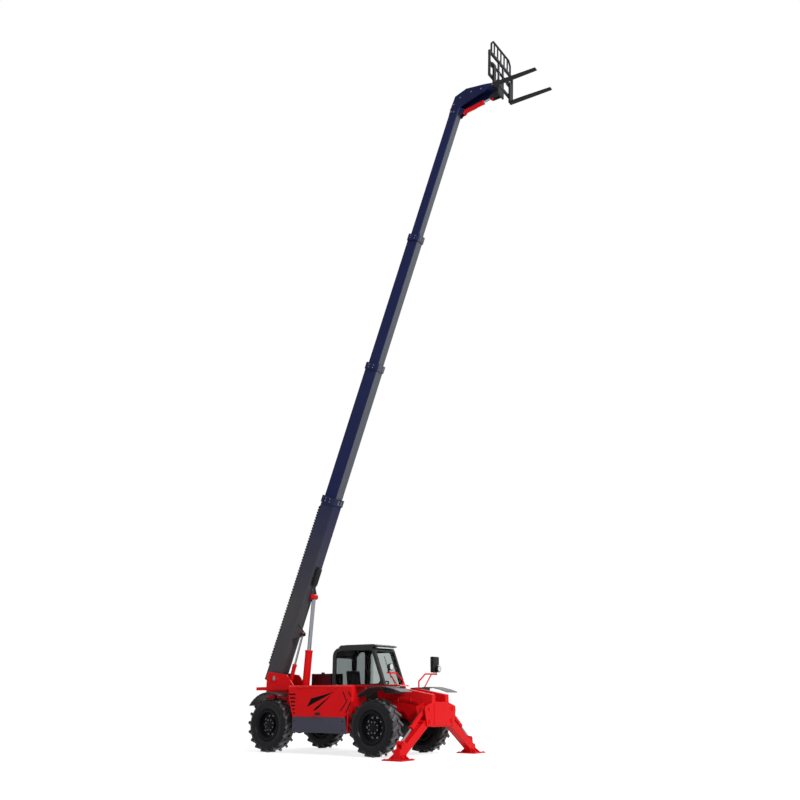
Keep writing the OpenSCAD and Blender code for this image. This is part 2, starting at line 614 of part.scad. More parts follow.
module boom_base() color("#1a2130") in_boom() {
    difference() {
        union() {
            boom_tube(0, -160, boom_base_l - 10);
            collar(0, boom_base_l);
            pin_y(0, 0, 92, -frame_in + move_gap, frame_in - move_gap);
            box(-160, -150, -boom_w / 2 + 5, boom_w / 2 - 5, boom_n - boom_d / 2 + 5, boom_n + boom_d / 2 - 5);
            lug(lift_eye[0], lift_eye[1], lift_y, 56, 18, 70, lift_eye[0] - 118, lift_eye[0] + 210);
            lug(level_eye[0], level_eye[1], level_y, 40, 14, 52, level_eye[0] - 220, level_eye[0] + 180);
        }
        pin_y(0, 0, boom_pin_r + pin_gap, -400, 400);
    }
    boom_pipes();
}

module boom_section_2() color("#1a2130") in_boom() {
    boom_tube(1, boom_base_l - boom_lap, boom_base_l + boom_reach - 10);
    collar(1, boom_base_l + boom_reach);
}

module boom_section_3() color("#1a2130") in_boom() {
    boom_tube(2, boom_base_l + boom_reach - boom_lap, boom_base_l + 2 * boom_reach - 10);
    collar(2, boom_base_l + 2 * boom_reach);
}

head_right = [[15390, 60], [15600, 20], [15690, -80], [16110, -690], [16120, -940], [16205, -977], [16272, -945],
    [16290, -880], [16265, -580], [16165, 0], [15945, 290], [15560, 312], [15390, 305]];
head_left = [[15390, 60], [15390, -10], [15510, -40], [15673, -385], [15909, -640], [16110, -930], [16205, -977],
    [16272, -945], [16290, -880], [16265, -580], [16165, 0], [15945, 290], [15560, 312], [15390, 305]];
head_skin = [[15945, 291], [16165, 0], [16265, -580], [16240, -580], [16140, -8], [15930, 268], [15560, 290],
    [15560, 312]];
head_lug = [[15400, 70], [15640, 70], [15575, -120], [15520, -152], [15465, -120]];

// A hose that leaves the head's top, turns over and comes back
module head_hose(s, r, y) translate([s, y, 290]) rotate([90, 0, 0])
    rotate_extrude(angle = 180) translate([r, 0]) circle(r = 11, $fn = 16);

module boom_tip() color("#1a2130") in_boom() {
    boom_tube(3, boom_base_l + 2 * boom_reach - boom_lap, tip_s);
    translate([head_s, 0, 0]) {
        slab_xz(head_left, 80, 108);
        slab_xz(head_right, -108, -80);
        slab_xz(head_skin, -81, 81);
        for (s = [-1, 1]) side(s) slab_xz(head_lug, 64, 81);
        box(15540, 15560, -100, 100, 40, 300);
        pin_y(tilt_base[0] - head_s, tilt_base[1], 30, -81, 81);
        pin_y(tilt_pivot[0] - head_s, tilt_pivot[1], 35, -158, 158);
        for (s = [-1, 1]) side(s) pin_y(tilt_pivot[0] - head_s, tilt_pivot[1], 62, 100, 112);
        head_hose(15700, 62, -45);
        head_hose(15760, 78, 30);
    }
}

module tilt_frame() in_boom() translate([tilt_base[0], 0, tilt_base[1]])
    rotate([0, -dir2(tilt_base, tilt_eye_sn), 0]) children();

tilt_l = dist2(tilt_base, tilt_eye_sn);

module ram_barrel(len, r, bore, rod, eye_r, pin, half) difference() {
    union() {
        pin_y(0, 0, eye_r, -half, half);
        translate([eye_r * 0.6, 0, 0]) rotate([0, 90, 0]) cylinder(h = len - eye_r * 0.6, r = r);
    }
    pin_y(0, 0, pin + pin_gap, -200, 200);
    translate([eye_r + 12, 0, 0]) rotate([0, 90, 0]) cylinder(h = len, r = bore);
}

module ram_gland(len, r, rod) translate([len - 40, 0, 0]) rotate([0, 90, 0]) difference() {
    cylinder(h = 50, r = r + 6);
    translate([0, 0, -1]) cylinder(h = 60, r = rod + pin_gap);
}

module ram_rod(x0, x1, rod, eye_r, half, pin, pin_half) {
    translate([x0, 0, 0]) rotate([0, 90, 0]) cylinder(h = x1 - x0, r = rod);
    pin_y(x1, 0, eye_r, -half, half);
    pin_y(x1, 0, pin, -pin_half, pin_half);
}

module tilt_barrel() color("red") tilt_frame() {
    ram_barrel(598, 58, 40, 32, 55, 30, 62);
    ram_gland(598, 58, 32);
}

module tilt_rod() color("silver") tilt_frame() ram_rod(254, tilt_l, 32, 46, 38, 22, 46);

module carriage() color("#1c1f24") in_carriage() {
    u = carriage_u;
    w = carriage_w / 2;
    wb = w - 110;
    difference() {
        union() {
            for (s = [-1, 1]) side(s) slab_xz([[u + 2, 120], [u + 2, -150], [0, -75], [-55, -50], [-75, 0], [-55, 50],
                [0, 75]], 114, 146);
            for (s = [-1, 1]) side(s) slab_xz([[u + 2, -130], [u + 2, -330], [tilt_eye[0], tilt_eye[1] - 46],
                [tilt_eye[0] - 46, tilt_eye[1]], [tilt_eye[0], tilt_eye[1] + 46]], 50, 72);
        }
        pin_y(0, 0, 35 + pin_gap, -300, 300);
    }
    box(u, u + 50, -w, w, -95, -20);
    box(u, u + 50, -w, w, 615, 690);
    box(u, u + 40, -146, 146, -335, 120);
    for (s = [-1, 1]) side(s) {
        box(u, u + 50, w - 55, w, -95, 690);
        box(u, u + 40, 92, 146, 100, 640);
        slab_xz([[u - 20, 690], [u - 20, 560], [u + 2, 480], [u + 2, 690]], w - 55, w - 30);
    }
    pin_y(u + 28, shaft_v, shaft_r, -w + 20, w - 20);
    for (i = [1:5]) translate([0, -wb + i * wb / 3, 0]) box(u + 6, u + 36, -16, 16, 680, backrest_h - 20);
    slab_yz([[-wb, 680], [-wb, backrest_h - 130], [-wb + 100, backrest_h], [wb - 100, backrest_h], [wb, backrest_h - 130],
        [wb, 680], [wb - 40, 680], [wb - 40, backrest_h - 148], [wb - 118, backrest_h - 42],
        [-wb + 118, backrest_h - 42], [-wb + 40, backrest_h - 148], [-wb + 40, 680]], u + 2, u + 40);
}

module forks() color("#1c1f24") in_carriage() for (s = [-1, 1]) translate([0, s * fork_pitch / 2, 0]) {
    u = carriage_u + 50.3;
    difference() {
        union() {
            slab_xz([[u, shaft_v], [u, fork_z + 10], [u + 10, fork_z], [fork_u1 - 40, fork_z], [fork_u1, fork_z + 8],
                [fork_u1, fork_z + 14], [u + 400, fork_z + fork_t], [u + 60, fork_z + fork_t],
                [u + 45, fork_z + fork_t + 15], [u + 45, shaft_v]], -62, 62);
            pin_y(carriage_u + 28, shaft_v, 60, -62, 62);
        }
        pin_y(carriage_u + 28, shaft_v, shaft_r + pin_gap, -70, 70);
        box(carriage_u - 60, u - 0.3, -70, 70, shaft_v - 110, shaft_v - 61);
    }
}

module lift_frame() datum() translate([lift_base[0], lift_y, lift_base[1]])
    rotate([0, -dir2(lift_base, lift_top), 0]) children();
lift_l = dist2(lift_base, lift_top);
lift_l0 = dist2(lift_base, lift_low);
lift_b = lift_l0 - 95;

module lift_barrel() color("red") lift_frame() { ram_barrel(lift_b - 10, 90, 64, 50, 85, 40, 80); ram_gland(lift_b - 10, 90, 50); }
module lift_rod() color("silver") lift_frame() ram_rod(lift_b - 94, lift_l, 50, 72, 47, 38, 54);

module level_frame() datum() translate([level_base[0], level_y, level_base[1]])
    rotate([0, -dir2(level_base, level_top), 0]) children();
level_l = dist2(level_base, level_top);
level_l0 = dist2(level_base, level_low);
level_b = level_l0 - 70;

module level_barrel() color("red") level_frame() { ram_barrel(level_b - 10, 50, 36, 28, 55, 30, 44); ram_gland(level_b - 10, 50, 28); }
module level_rod() color("silver") level_frame() ram_rod(level_b - 110, level_l, 28, 46, 34, 24, 37);

// Stabilisers
leg_l = dist2(leg_ram, leg_eye);

leg_run = dir2(leg_hinge, [foot_y, 100]);
function leg_pt(t, n) = [leg_hinge[0] + t * cos(leg_run) - n * sin(leg_run), leg_hinge[1] + t * sin(leg_run) + n * cos(leg_run)];

module leg() {
    difference() {
        union() {
            slab_yz([[leg_hinge[0] - 20, leg_hinge[1] + 78], [leg_hinge[0] + 60, leg_hinge[1] + 66], [foot_y - 30, 215],
                [foot_y + 60, 190], [foot_y + 75, 25], [foot_y - 150, 25], [foot_y - 190, 110],
                [leg_hinge[0] - 10, leg_hinge[1] - 90]], leg_x - 80, leg_x + 80);
            pin_x(leg_hinge[0], leg_hinge[1], 80, leg_x - 86, leg_x + 86);
            for (k = [-1, 1]) translate([k * 60, 0, 0])
                slab_yz([[leg_eye[0] - 120, 300], [leg_eye[0] - 45, leg_eye[1] + 30], [leg_eye[0], leg_eye[1] + 48],
                    [leg_eye[0] + 46, leg_eye[1]], [leg_eye[0] + 60, 200]], leg_x - 14, leg_x + 14);
        }
        pin_x(leg_hinge[0], leg_hinge[1], 32 + pin_gap, leg_x - 200, leg_x + 200);
        slab_yz([leg_pt(150, 44), leg_pt(940, 58), leg_pt(940, 140), leg_pt(150, 140)], leg_x - 66, leg_x + 66);
        slab_yz([[leg_eye[0] - 120, 290], [leg_eye[0] - 40, 250], [leg_eye[0] + 120, 250], [leg_eye[0] + 120, 500],
            [leg_eye[0] - 120, 500]], leg_x - 46, leg_x + 46);
    }
    box(leg_x - foot_w / 2, leg_x + foot_w / 2, foot_y - foot_w / 2, foot_y + foot_w / 2, 0, 26);
    for (y = [-110, 50]) translate([0, foot_y + y, 0])
        slab_xz([[leg_x - foot_w / 2 + 25, 24], [leg_x - 78, 120], [leg_x + 78, 120], [leg_x + foot_w / 2 - 25, 24]], -8, 8);
}

module leg_left() color("red") datum() leg();
module leg_right() color("red") datum() side(-1) leg();

module leg_ram_frame() datum() translate([leg_x, leg_ram[0], leg_ram[1]]) rotate([0, 0, 90])
    rotate([0, -dir2(leg_ram, leg_eye), 0]) children();
leg_b = 640;

module leg_barrel_right() color("red") mirror([0, 1, 0]) leg_barrel();
module leg_barrel_left() color("red") leg_barrel();
module leg_barrel() leg_ram_frame() { ram_barrel(leg_b, 52, 36, 30, 52, 26, 50); ram_gland(leg_b, 52, 30); }
module leg_rod() leg_ram_frame() ram_rod(leg_b - 110, leg_l, 30, 44, 36, 22, 42);
module leg_rod_left() color("silver") leg_rod();
module leg_rod_right() color("silver") mirror([0, 1, 0]) leg_rod();

chassis_frame();
stabiliser_frame();
counterweight();
axles();
engine();
engine_pod();
engine_cover();
cover_inlets();
side_tanks();
rear_decks();
oil_box();
front_fenders();
cab_floor();
cab_sides();
cab_ends();
cab_roof();
cab_glass();
seat();
controls();
lamp_brackets();
lamps();
mirror_piece();  // mirror
cab_door();
door_glass();
color("dimgray") at_wheel(1, 1) knuckle(false);  // knuckle_front_left
color("dimgray") at_wheel(1, -1) knuckle(false);  // knuckle_front_right
color("dimgray") at_wheel(-1, 1) knuckle(true);  // knuckle_rear_left
color("dimgray") at_wheel(-1, -1) knuckle(true);  // knuckle_rear_right
color("#202226") at_wheel(1, 1) rim();  // rim_front_left
color("#202226") at_wheel(1, -1) rim();  // rim_front_right
color("#202226") at_wheel(-1, 1) rim();  // rim_rear_left
color("#202226") at_wheel(-1, -1) rim();  // rim_rear_right
color("#16171a") at_wheel(1, 1) tyre();  // tyre_front_left
color("#16171a") at_wheel(1, -1) tyre();  // tyre_front_right
color("#16171a") at_wheel(-1, 1) tyre();  // tyre_rear_left
color("#16171a") at_wheel(-1, -1) tyre();  // tyre_rear_right
boom_base();
boom_section_2();
boom_section_3();
boom_tip();
tilt_barrel();
tilt_rod();
carriage();
forks();
lift_barrel();
lift_rod();
level_barrel();
level_rod();
leg_left();
leg_right();
leg_barrel_left();
leg_barrel_right();
leg_rod_left();
leg_rod_right();
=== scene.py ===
"""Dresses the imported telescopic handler: finishes, small fittings, seat, camera and studio."""

from __future__ import annotations

import logging
import math
from dataclasses import dataclass, field
from enum import Enum
from functools import cache

import bmesh
import bpy
from mathutils import Matrix, Vector

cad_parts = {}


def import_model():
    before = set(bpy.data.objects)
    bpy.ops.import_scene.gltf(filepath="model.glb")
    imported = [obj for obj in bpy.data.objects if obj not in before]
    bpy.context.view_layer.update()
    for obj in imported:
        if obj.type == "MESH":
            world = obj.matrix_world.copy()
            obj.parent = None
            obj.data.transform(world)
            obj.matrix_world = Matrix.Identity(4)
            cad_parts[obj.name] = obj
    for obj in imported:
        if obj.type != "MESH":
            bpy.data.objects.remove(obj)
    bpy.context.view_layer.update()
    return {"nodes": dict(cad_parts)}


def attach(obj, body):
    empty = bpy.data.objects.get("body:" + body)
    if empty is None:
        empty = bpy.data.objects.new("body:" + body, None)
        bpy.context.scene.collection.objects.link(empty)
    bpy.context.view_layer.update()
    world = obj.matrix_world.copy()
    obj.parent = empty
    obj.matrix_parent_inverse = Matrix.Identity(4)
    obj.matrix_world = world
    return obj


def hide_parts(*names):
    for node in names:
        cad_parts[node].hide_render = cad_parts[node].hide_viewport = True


Triple = tuple[float, float, float]
Pair = tuple[float, float]
Pairs = tuple[Pair, ...]
Point = Vector | Triple
Socket = bpy.types.NodeSocket

LOG = logging.getLogger("handler")
DATUM = 1.655763
WHEELS = ("front_left", "front_right", "rear_left", "rear_right")
BOOM_PIVOT = (-2.150, 0.0, 1.630)
BOOM_ANGLE = math.radians(68.8)
FORK_ANGLE = math.radians(-3.0)
TILT_PIVOT = (16.205, 0.0, -0.892)
LIFT_BASE, LIFT_EYE = (-1.450, 0.900), (2.145, -0.150)
LEVEL_BASE, LEVEL_EYE = (-1.900, 1.100), (1.230, -0.300)
AXLE_X, AXLE_Z = 1.495, 0.590
LEG_X = 2.410
LEG_RAM, LEG_EYE = (0.470, 0.963), (1.365, 0.320)
POD_Y = -1.150
SIDES = (-1.0, 1.0)
HANDS = (("left", 1.0), ("right", -1.0))
CORNERS = ((-1, -1), (1, -1), (1, 1), (-1, 1))
AHEAD = Vector((1.0, 0.0, 0.0))
LEFT = Vector((0.0, 1.0, 0.0))
UP = Vector((0.0, 0.0, 1.0))

WHITE = (1.0, 1.0, 1.0, 1.0)
BROAD_WAVES, BROAD_DETAIL, FINE_DETAIL = 3.1, 6.0, 4.0
BUMP_STRENGTH = 0.35
GROUND_DUST, DUST_TOP = (0.20, 0.18, 0.16, 1.0), 1.3
# Tyre tread grey: partly dust, partly a painted highlight on the lugs.
TREAD_DUST_AND_HIGHLIGHT, TREAD_RADII, FLANK_FACING = (0.26, 0.26, 0.27, 1.0), (0.535, 0.568), (0.35, 0.80)
# The boom's under face gets a lighter grey, a painted highlight.
BELLY_WAY, BELLY_HIGHLIGHT_FACING = (math.sin(BOOM_ANGLE), 0.0, -math.cos(BOOM_ANGLE)), (0.90, 0.97)
# Hard edges: rounded normal for the shading, and a lighter colour as a painted highlight.
EDGE_RADIUS, EDGE_HIGHLIGHT_FACING = 0.006, (0.99, 0.80)


@dataclass
class Graph:
    """A node tree with short ways to add to it."""

    tree: bpy.types.NodeTree

    def add(self, kind: str, ports: dict | None = None, **settings: object) -> bpy.types.Node:
        """Adds a node.

        Args:
            kind: node type, without the start that all types have
            ports: input name or number to its value or the socket it is linked to
            settings: properties of the node, set before its inputs

        Returns:
            The node.
        """
        node = self.tree.nodes.new(f"ShaderNode{kind}")
        for name, value in settings.items():
            setattr(node, name, value)
        for port, value in (ports or {}).items():
            self.feed(node.inputs[port], value)
        return node

    def feed(self, port: Socket, value: object) -> None:
        """Links a socket to an input, or sets the input's value.

        Args:
            port: the input
            value: a socket, or else a plain value
        """
        if isinstance(value, Socket):
            self.tree.links.new(value, port)
        else:
            port.default_value = value

    def noise(self, place: Socket, scale: float, detail: float) -> Socket:
        """Adds a noise, with its scale in waves per metre."""
        return self.add("TexNoise", {"Scale": scale, "Detail": detail, "Vector": place}).outputs["Fac"]

    def math(self, operation: str, first: Socket, second: Socket | float = 0.0) -> Socket:
        """Adds a sum of one or two values."""
        return self.add("Math", {0: first, 1: second}, operation=operation).outputs["Value"]

    def vector(self, operation: str, first: Socket, second: Socket | Triple = (0.0, 0.0, 0.0)) -> Socket:
        """Adds a sum of one or two vectors that gives a value."""
        return self.add("VectorMath", {0: first, 1: second}, operation=operation).outputs["Value"]

    def split(self, vector: Socket) -> bpy.types.NodeOutputs:
        """Adds a split of a vector into X, Y and Z."""
        return self.add("SeparateXYZ", {"Vector": vector}).outputs

    def span(self, value: Socket, start: float, end: float, first: float = 0.0, last: float = 1.0) -> Socket:
        """Adds a change from first to last while the value goes from start to end."""
        ports = {"Value": value, "From Min": start, "From Max": end, "To Min": first, "To Max": last}
        return self.add("MapRange", ports).outputs["Result"]

    def blend(self, share: Socket, first: Socket | tuple, second: Socket | tuple) -> Socket:
        """Adds a mix of two colours."""
        return self.add("Mix", {"Factor": share, "A": first, "B": second}, data_type="RGBA").outputs["Result"]


class Surface(Enum):
    """Kinds of surface, each with the shader inputs that it sets."""

    PAINT = (("Coat Weight", 0.03), ("Coat Roughness", 0.12))
    CAST = (("Metallic", 0.25),)
    METAL = (("Metallic", 1.0),)
    GLASS = (("Transmission Weight", 1.0), ("IOR", 1.10))
    CLOTH = (("Sheen Weight", 0.3),)
    LENS = (("Coat Weight", 0.6),)
    PLAIN = ()


@dataclass(frozen=True)
class Finish:
    """One procedural finish.

    Args:
        name: material name
        surface: kind of surface
        colour: linear base colour
        roughness: middle of the roughness band
        mottle: how far the colour drifts
        grain: size of the fine grain, in waves per metre
        depth: height of the fine grain, in metres
        dust: share of dust near the ground
        edge_highlight: how far hard edges are lightened, a painted highlight
        low: colour at the start of the fade, where it differs
        fade: axis, start and end of the fade to the main colour
        belly: lighter colour of the boom's under face, a painted highlight, where it differs
        shine: level of the plain reflection
        tread: share of grey on the tyres' tread faces, partly dust and partly a painted highlight
    """

    name: str
    surface: Surface
    colour: Triple
    roughness: float = 0.4
    mottle: float = 0.12
    grain: float = 90.0
    depth: float = 0.0006
    dust: float = 0.0
    edge_highlight: float = 0.0
    low: Triple | None = None
    fade: tuple[str, float, float] = ("Z", 3.4, 6.2)
    belly: Triple | None = None
    shine: float = 0.12
    tread: float = 0.0

    def build(self) -> bpy.types.Material:
        """Makes the node material.

        Returns:
            The material.
        """
        mat = bpy.data.materials.new(self.name)
        mat.use_nodes = True
        graph = Graph(mat.node_tree)
        shader = mat.node_tree.nodes["Principled BSDF"].inputs
        place = graph.add("TexCoord").outputs
        broad = graph.noise(place["Object"], BROAD_WAVES, BROAD_DETAIL)
        fine = graph.noise(place["Object"], self.grain, FINE_DETAIL)
        colour = self._drift(graph, broad, self.colour)
        if self.low:
            colour = self._faded(graph, place, self._drift(graph, broad, self.low), colour)
        # Painted highlight: the boom's under face is made lighter grey.
        if self.belly:
            colour = self._paint_belly_highlight(graph, place, colour)
        if self.dust > 0.0:
            colour = self._dusted(graph, place, broad, colour)
        # Tread faces greyed: partly dust, partly a painted highlight.
        if self.tread > 0.0:
            colour = self._tread_dust_and_highlight(graph, place, colour)
        bump = graph.add("Bump", {"Strength": BUMP_STRENGTH, "Distance": self.depth, "Height": fine})
        # Painted highlight: hard edges are lightened.
        if self.edge_highlight > 0.0:
            colour = self._paint_edge_highlight(graph, bump, colour)
        spread = min(0.09, self.roughness * 0.4)
        band = graph.span(fine, 0.0, 1.0, self.roughness - spread, min(1.0, self.roughness + spread))
        linked = (("Base Color", colour), ("Roughness", band), ("Normal", bump.outputs["Normal"]))
        for port, value in (*linked, ("Specular IOR Level", self.shine), *self.surface.value):
            graph.feed(shader[port], value)
        mat.diffuse_color = (*self.colour, 1.0)
        return mat

    def _drift(self, graph: Graph, broad: Socket, colour: Triple) -> Socket:
        """Lets a colour drift between a darker and a lighter tone."""
        tones = [(*(min(1.0, c * (1.0 + k * self.mottle)) for c in colour), 1.0) for k in SIDES]
        return graph.blend(broad, *tones)

    def _faded(self, graph: Graph, place: bpy.types.NodeOutputs, near: Socket, far: Socket) -> Socket:
        """Fades one colour into another along an axis."""
        axis, *ends = self.fade
        return graph.blend(graph.span(graph.split(place["Object"])[axis], *ends), near, far)

    def _paint_belly_highlight(self, graph: Graph, place: bpy.types.NodeOutputs, colour: Socket) -> Socket:
        """Paints a highlight on the boom's under face: a lighter grey colour there."""
        facing = graph.vector("DOT_PRODUCT", place["Normal"], BELLY_WAY)
        return graph.blend(graph.span(facing, *BELLY_HIGHLIGHT_FACING), colour, (*self.belly, 1.0))

    def _dusted(self, graph: Graph, place: bpy.types.NodeOutputs, broad: Socket, colour: Socket) -> Socket:
        """Lays dust in patches over the low parts."""
        height = graph.span(graph.split(place["Object"])["Z"], 0.0, DUST_TOP, self.dust, 0.0)
        return graph.blend(graph.math("MULTIPLY", height, broad), colour, GROUND_DUST)

    def _tread_dust_and_highlight(self, graph: Graph, place: bpy.types.NodeOutputs, colour: Socket) -> Socket:
        """Greys the tread faces of the four tyres, partly as dust and partly as a painted highlight; the
        tyres lie alike about the middle of the wheelbase.

        Args:
            graph: graph to add to
            place: texture coordinates
            colour: colour below the dust and painted highlight

        Returns:
            The colour socket.
        """
        spot = graph.split(place["Object"])
        from_middle = graph.math("ABSOLUTE", graph.math("ADD", spot["X"], DATUM))
        arm = graph.add("CombineXYZ", {
            "X": graph.math("SUBTRACT", from_middle, AXLE_X), "Z": graph.math("SUBTRACT", spot["Z"], AXLE_Z),
        })
        outer = graph.span(graph.vector("LENGTH", arm.outputs["Vector"]), *TREAD_RADII, 0.0, self.tread)
        sideways = graph.math("ABSOLUTE", graph.split(place["Normal"])["Y"])
        flank = graph.span(sideways, *FLANK_FACING, 1.0, 0.0)
        return graph.blend(graph.math("MULTIPLY", outer, flank), colour, TREAD_DUST_AND_HIGHLIGHT)

    def _paint_edge_highlight(self, graph: Graph, bump: bpy.types.Node, colour: Socket) -> Socket:
        """Rounds hard edges in the light, and paints a highlight on them by lightening the colour there.

        Args:
            graph: graph to add to
            bump: bump node that takes the rounded normal
            colour: colour below the painted edge highlight

        Returns:
            The colour socket.
        """
        edge = graph.add("Bevel", {"Radius": EDGE_RADIUS}, samples=4).outputs["Normal"]
        graph.feed(bump.inputs["Normal"], edge)
        match = graph.vector("DOT_PRODUCT", edge, graph.add("NewGeometry").outputs["Normal"])
        # Painted highlight colour for the hard edges.
        highlight_tone = (*(min(1.0, c * 1.6 + 0.05) for c in self.colour), 1.0)
        return graph.blend(graph.span(match, *EDGE_HIGHLIGHT_FACING, 0.0, self.edge_highlight), colour, highlight_tone)


class Finishes(Enum):
    """The finishes of the machine."""

    RED = Finish(
        "body_red", Surface.PAINT, (0.66, 0.0050, 0.0075), 0.36, 0.05, 60.0, 0.0003, 0.0, 0.45, shine=0.06)
    # Navy boom paint; its under face gets a painted highlight.
    NAVY = Finish(
        "boom_navy", Surface.PAINT, (0.0100, 0.0140, 0.0620), 0.42, 0.15, 70.0, 0.0003, 0.0, 0.4,
        belly=(0.085, 0.092, 0.105), shine=0.05)
    BASE = Finish(
        "boom_base_navy", Surface.PAINT, (0.0140, 0.0180, 0.0620), 0.45, 0.15, 70.0, 0.0004, 0.0, 0.4,
        (0.062, 0.060, 0.066), shine=0.05)
    BLACK = Finish(
        "frame_black", Surface.PAINT, (0.0140, 0.0145, 0.0155), 0.34, 0.2, 80.0, 0.0003, 0.0, 0.5, shine=0.2)
    # Black rubber and plastic; also the blocks in the louvre openings, which are painted shade.
    DARK = Finish(
        "black_and_slot_shade", Surface.PLAIN, (0.0050, 0.0035, 0.0040), 0.7, 0.2, 200.0, 0.0004, shine=0.05)
    CAST = Finish("axle_cast", Surface.CAST, (0.020, 0.021, 0.023), 0.6, 0.25, 120.0, 0.0012, 0.15, 0.4)
    SKIRT = Finish(
        "skirt_plastic", Surface.PLAIN, (0.056, 0.055, 0.080),
        0.46, 0.12, 260.0, 0.0006, 0.05, 0.2, shine=0.08)
    FENDER = Finish(
        "fender_plastic", Surface.PLAIN, (0.026, 0.027, 0.031),
        0.40, 0.18, 240.0, 0.0007, 0.03, 0.3, shine=0.16)
    CLEAR = Finish(
        "window_glass", Surface.GLASS, (0.80, 0.84, 0.82), 0.03, 0.03, 20.0, 0.00005, low=(0.42, 0.45, 0.45),
        fade=("X", 0.43 - DATUM, 0.50 - DATUM))
    TINT = Finish("door_glass_tinted", Surface.GLASS, (0.46, 0.49, 0.48), 0.03, 0.03, 20.0, 0.00005)
    # Tyre rubber, with its tread faces greyed, partly dust and partly a painted highlight.
    TYRE = Finish(
        "tyre_rubber", Surface.PLAIN, (0.0062, 0.0062, 0.0078),
        0.30, 0.25, 180.0, 0.0008, 0.0, 0.45, tread=0.52)
    RIM = Finish(
        "rim_black", Surface.PAINT, (0.0050, 0.0050, 0.0062), 0.40, 0.2, 90.0, 0.0004, 0.02, 0.4, shine=0.05)
    CHROME = Finish("rod_chrome", Surface.METAL, (0.27, 0.28, 0.30), 0.18, 0.05, 200.0, 0.00008)
    STEEL = Finish("bolt_steel", Surface.METAL, (0.20, 0.20, 0.21), 0.36, 0.15, 300.0, 0.0002)
    SILVER = Finish("mirror_silver", Surface.METAL, (0.82, 0.84, 0.86), 0.03, 0.02, 20.0, 0.00002)
    FORK = Finish(
        "fork_black", Surface.PAINT, (0.0110, 0.0115, 0.0135), 0.42, 0.2, 90.0, 0.0006, 0.0, 0.5, shine=0.10)
    CLOTH = Finish("seat_cloth", Surface.CLOTH, (0.014, 0.014, 0.017), 0.85, 0.2, 700.0, 0.0008)
    TRIM = Finish("cab_trim", Surface.PLAIN, (0.013, 0.0135, 0.015), 0.5, 0.15, 320.0, 0.0006, 0.0, 0.3)
    LENS = Finish("lamp_lens", Surface.LENS, (0.58, 0.59, 0.60), 0.10, 0.03, 160.0, 0.0004)
    STOP = Finish("stop_lens", Surface.LENS, (0.42, 0.008, 0.010), 0.14, 0.06, 220.0, 0.0006)
    AMBER = Finish("turn_lens", Surface.LENS, (0.62, 0.16, 0.010), 0.14, 0.06, 220.0, 0.0006)
    MAROON = Finish(
        "box_maroon", Surface.PAINT, (0.055, 0.0035, 0.0070), 0.40, 0.15, 70.0, 0.0003, 0.0, 0.4, shine=0.05)
    FLOOR = Finish("studio_floor", Surface.PLAIN, (0.80, 0.80, 0.80), 0.7, 0.0, 4.0, 0.0)

    @cache
    def material(self) -> bpy.types.Material:
        """Gives the finish's material, which is made the first time."""
        return self.value.build()


def at(x: float, y: float, z: float) -> Vector:
    """Gives the model's point that is x ahead of the middle of the wheelbase, y left and z up."""
    return Vector((x - DATUM, y, z))


def boom_frame() -> Matrix:
    """Gives the boom's frame, with X along it and Z toward its back."""
    return Matrix.Translation(at(*BOOM_PIVOT)) @ Matrix.Rotation(-BOOM_ANGLE, 4, "Y")


def fork_frame() -> Matrix:
    """Gives the carriage's frame, with X along the forks."""
    return Matrix.Translation(boom_frame() @ Vector(TILT_PIVOT)) @ Matrix.Rotation(-FORK_ANGLE, 4, "Y")


def axis_frame(middle: Vector, axis: Vector) -> Matrix:
    """Gives a frame with Z along an axis."""
    return Matrix.Translation(middle) @ axis.to_track_quat("Z", "Y").to_matrix().to_4x4()


def aimed_frame(base: Vector, tip: Vector) -> Matrix:
    """Gives a cylinder's frame, with X from its base to its eye.

    Args:
        base: middle of the base pin
        tip: middle of the rod's eye

    Returns:
        The matrix from the cylinder's frame to the model's.
    """
    along = (tip - base).normalized()
    side = UP.cross(along).normalized()
    rows = Matrix((along, side, along.cross(side))).transposed().to_4x4()
    return Matrix.Translation(base) @ rows


def ring(count: int, radius: float, start: float = 0.0) -> list[Vector]:
    """Gives points round an axle, as offsets from it, the first turned by a share of a step."""
    turns = [2.0 * math.pi * (i + start) / count for i in range(count)]
    return [Vector((radius * math.cos(a), 0.0, radius * math.sin(a))) for a in turns]


def placed(name: str, data: bpy.types.ID) -> bpy.types.Object:
    """Adds an object to the scene.

    Args:
        name: object name
        data: its mesh, lamp or camera

    Returns:
        The object.
    """
    obj = bpy.data.objects.new(name, data)
    bpy.context.scene.collection.objects.link(obj)
    return obj


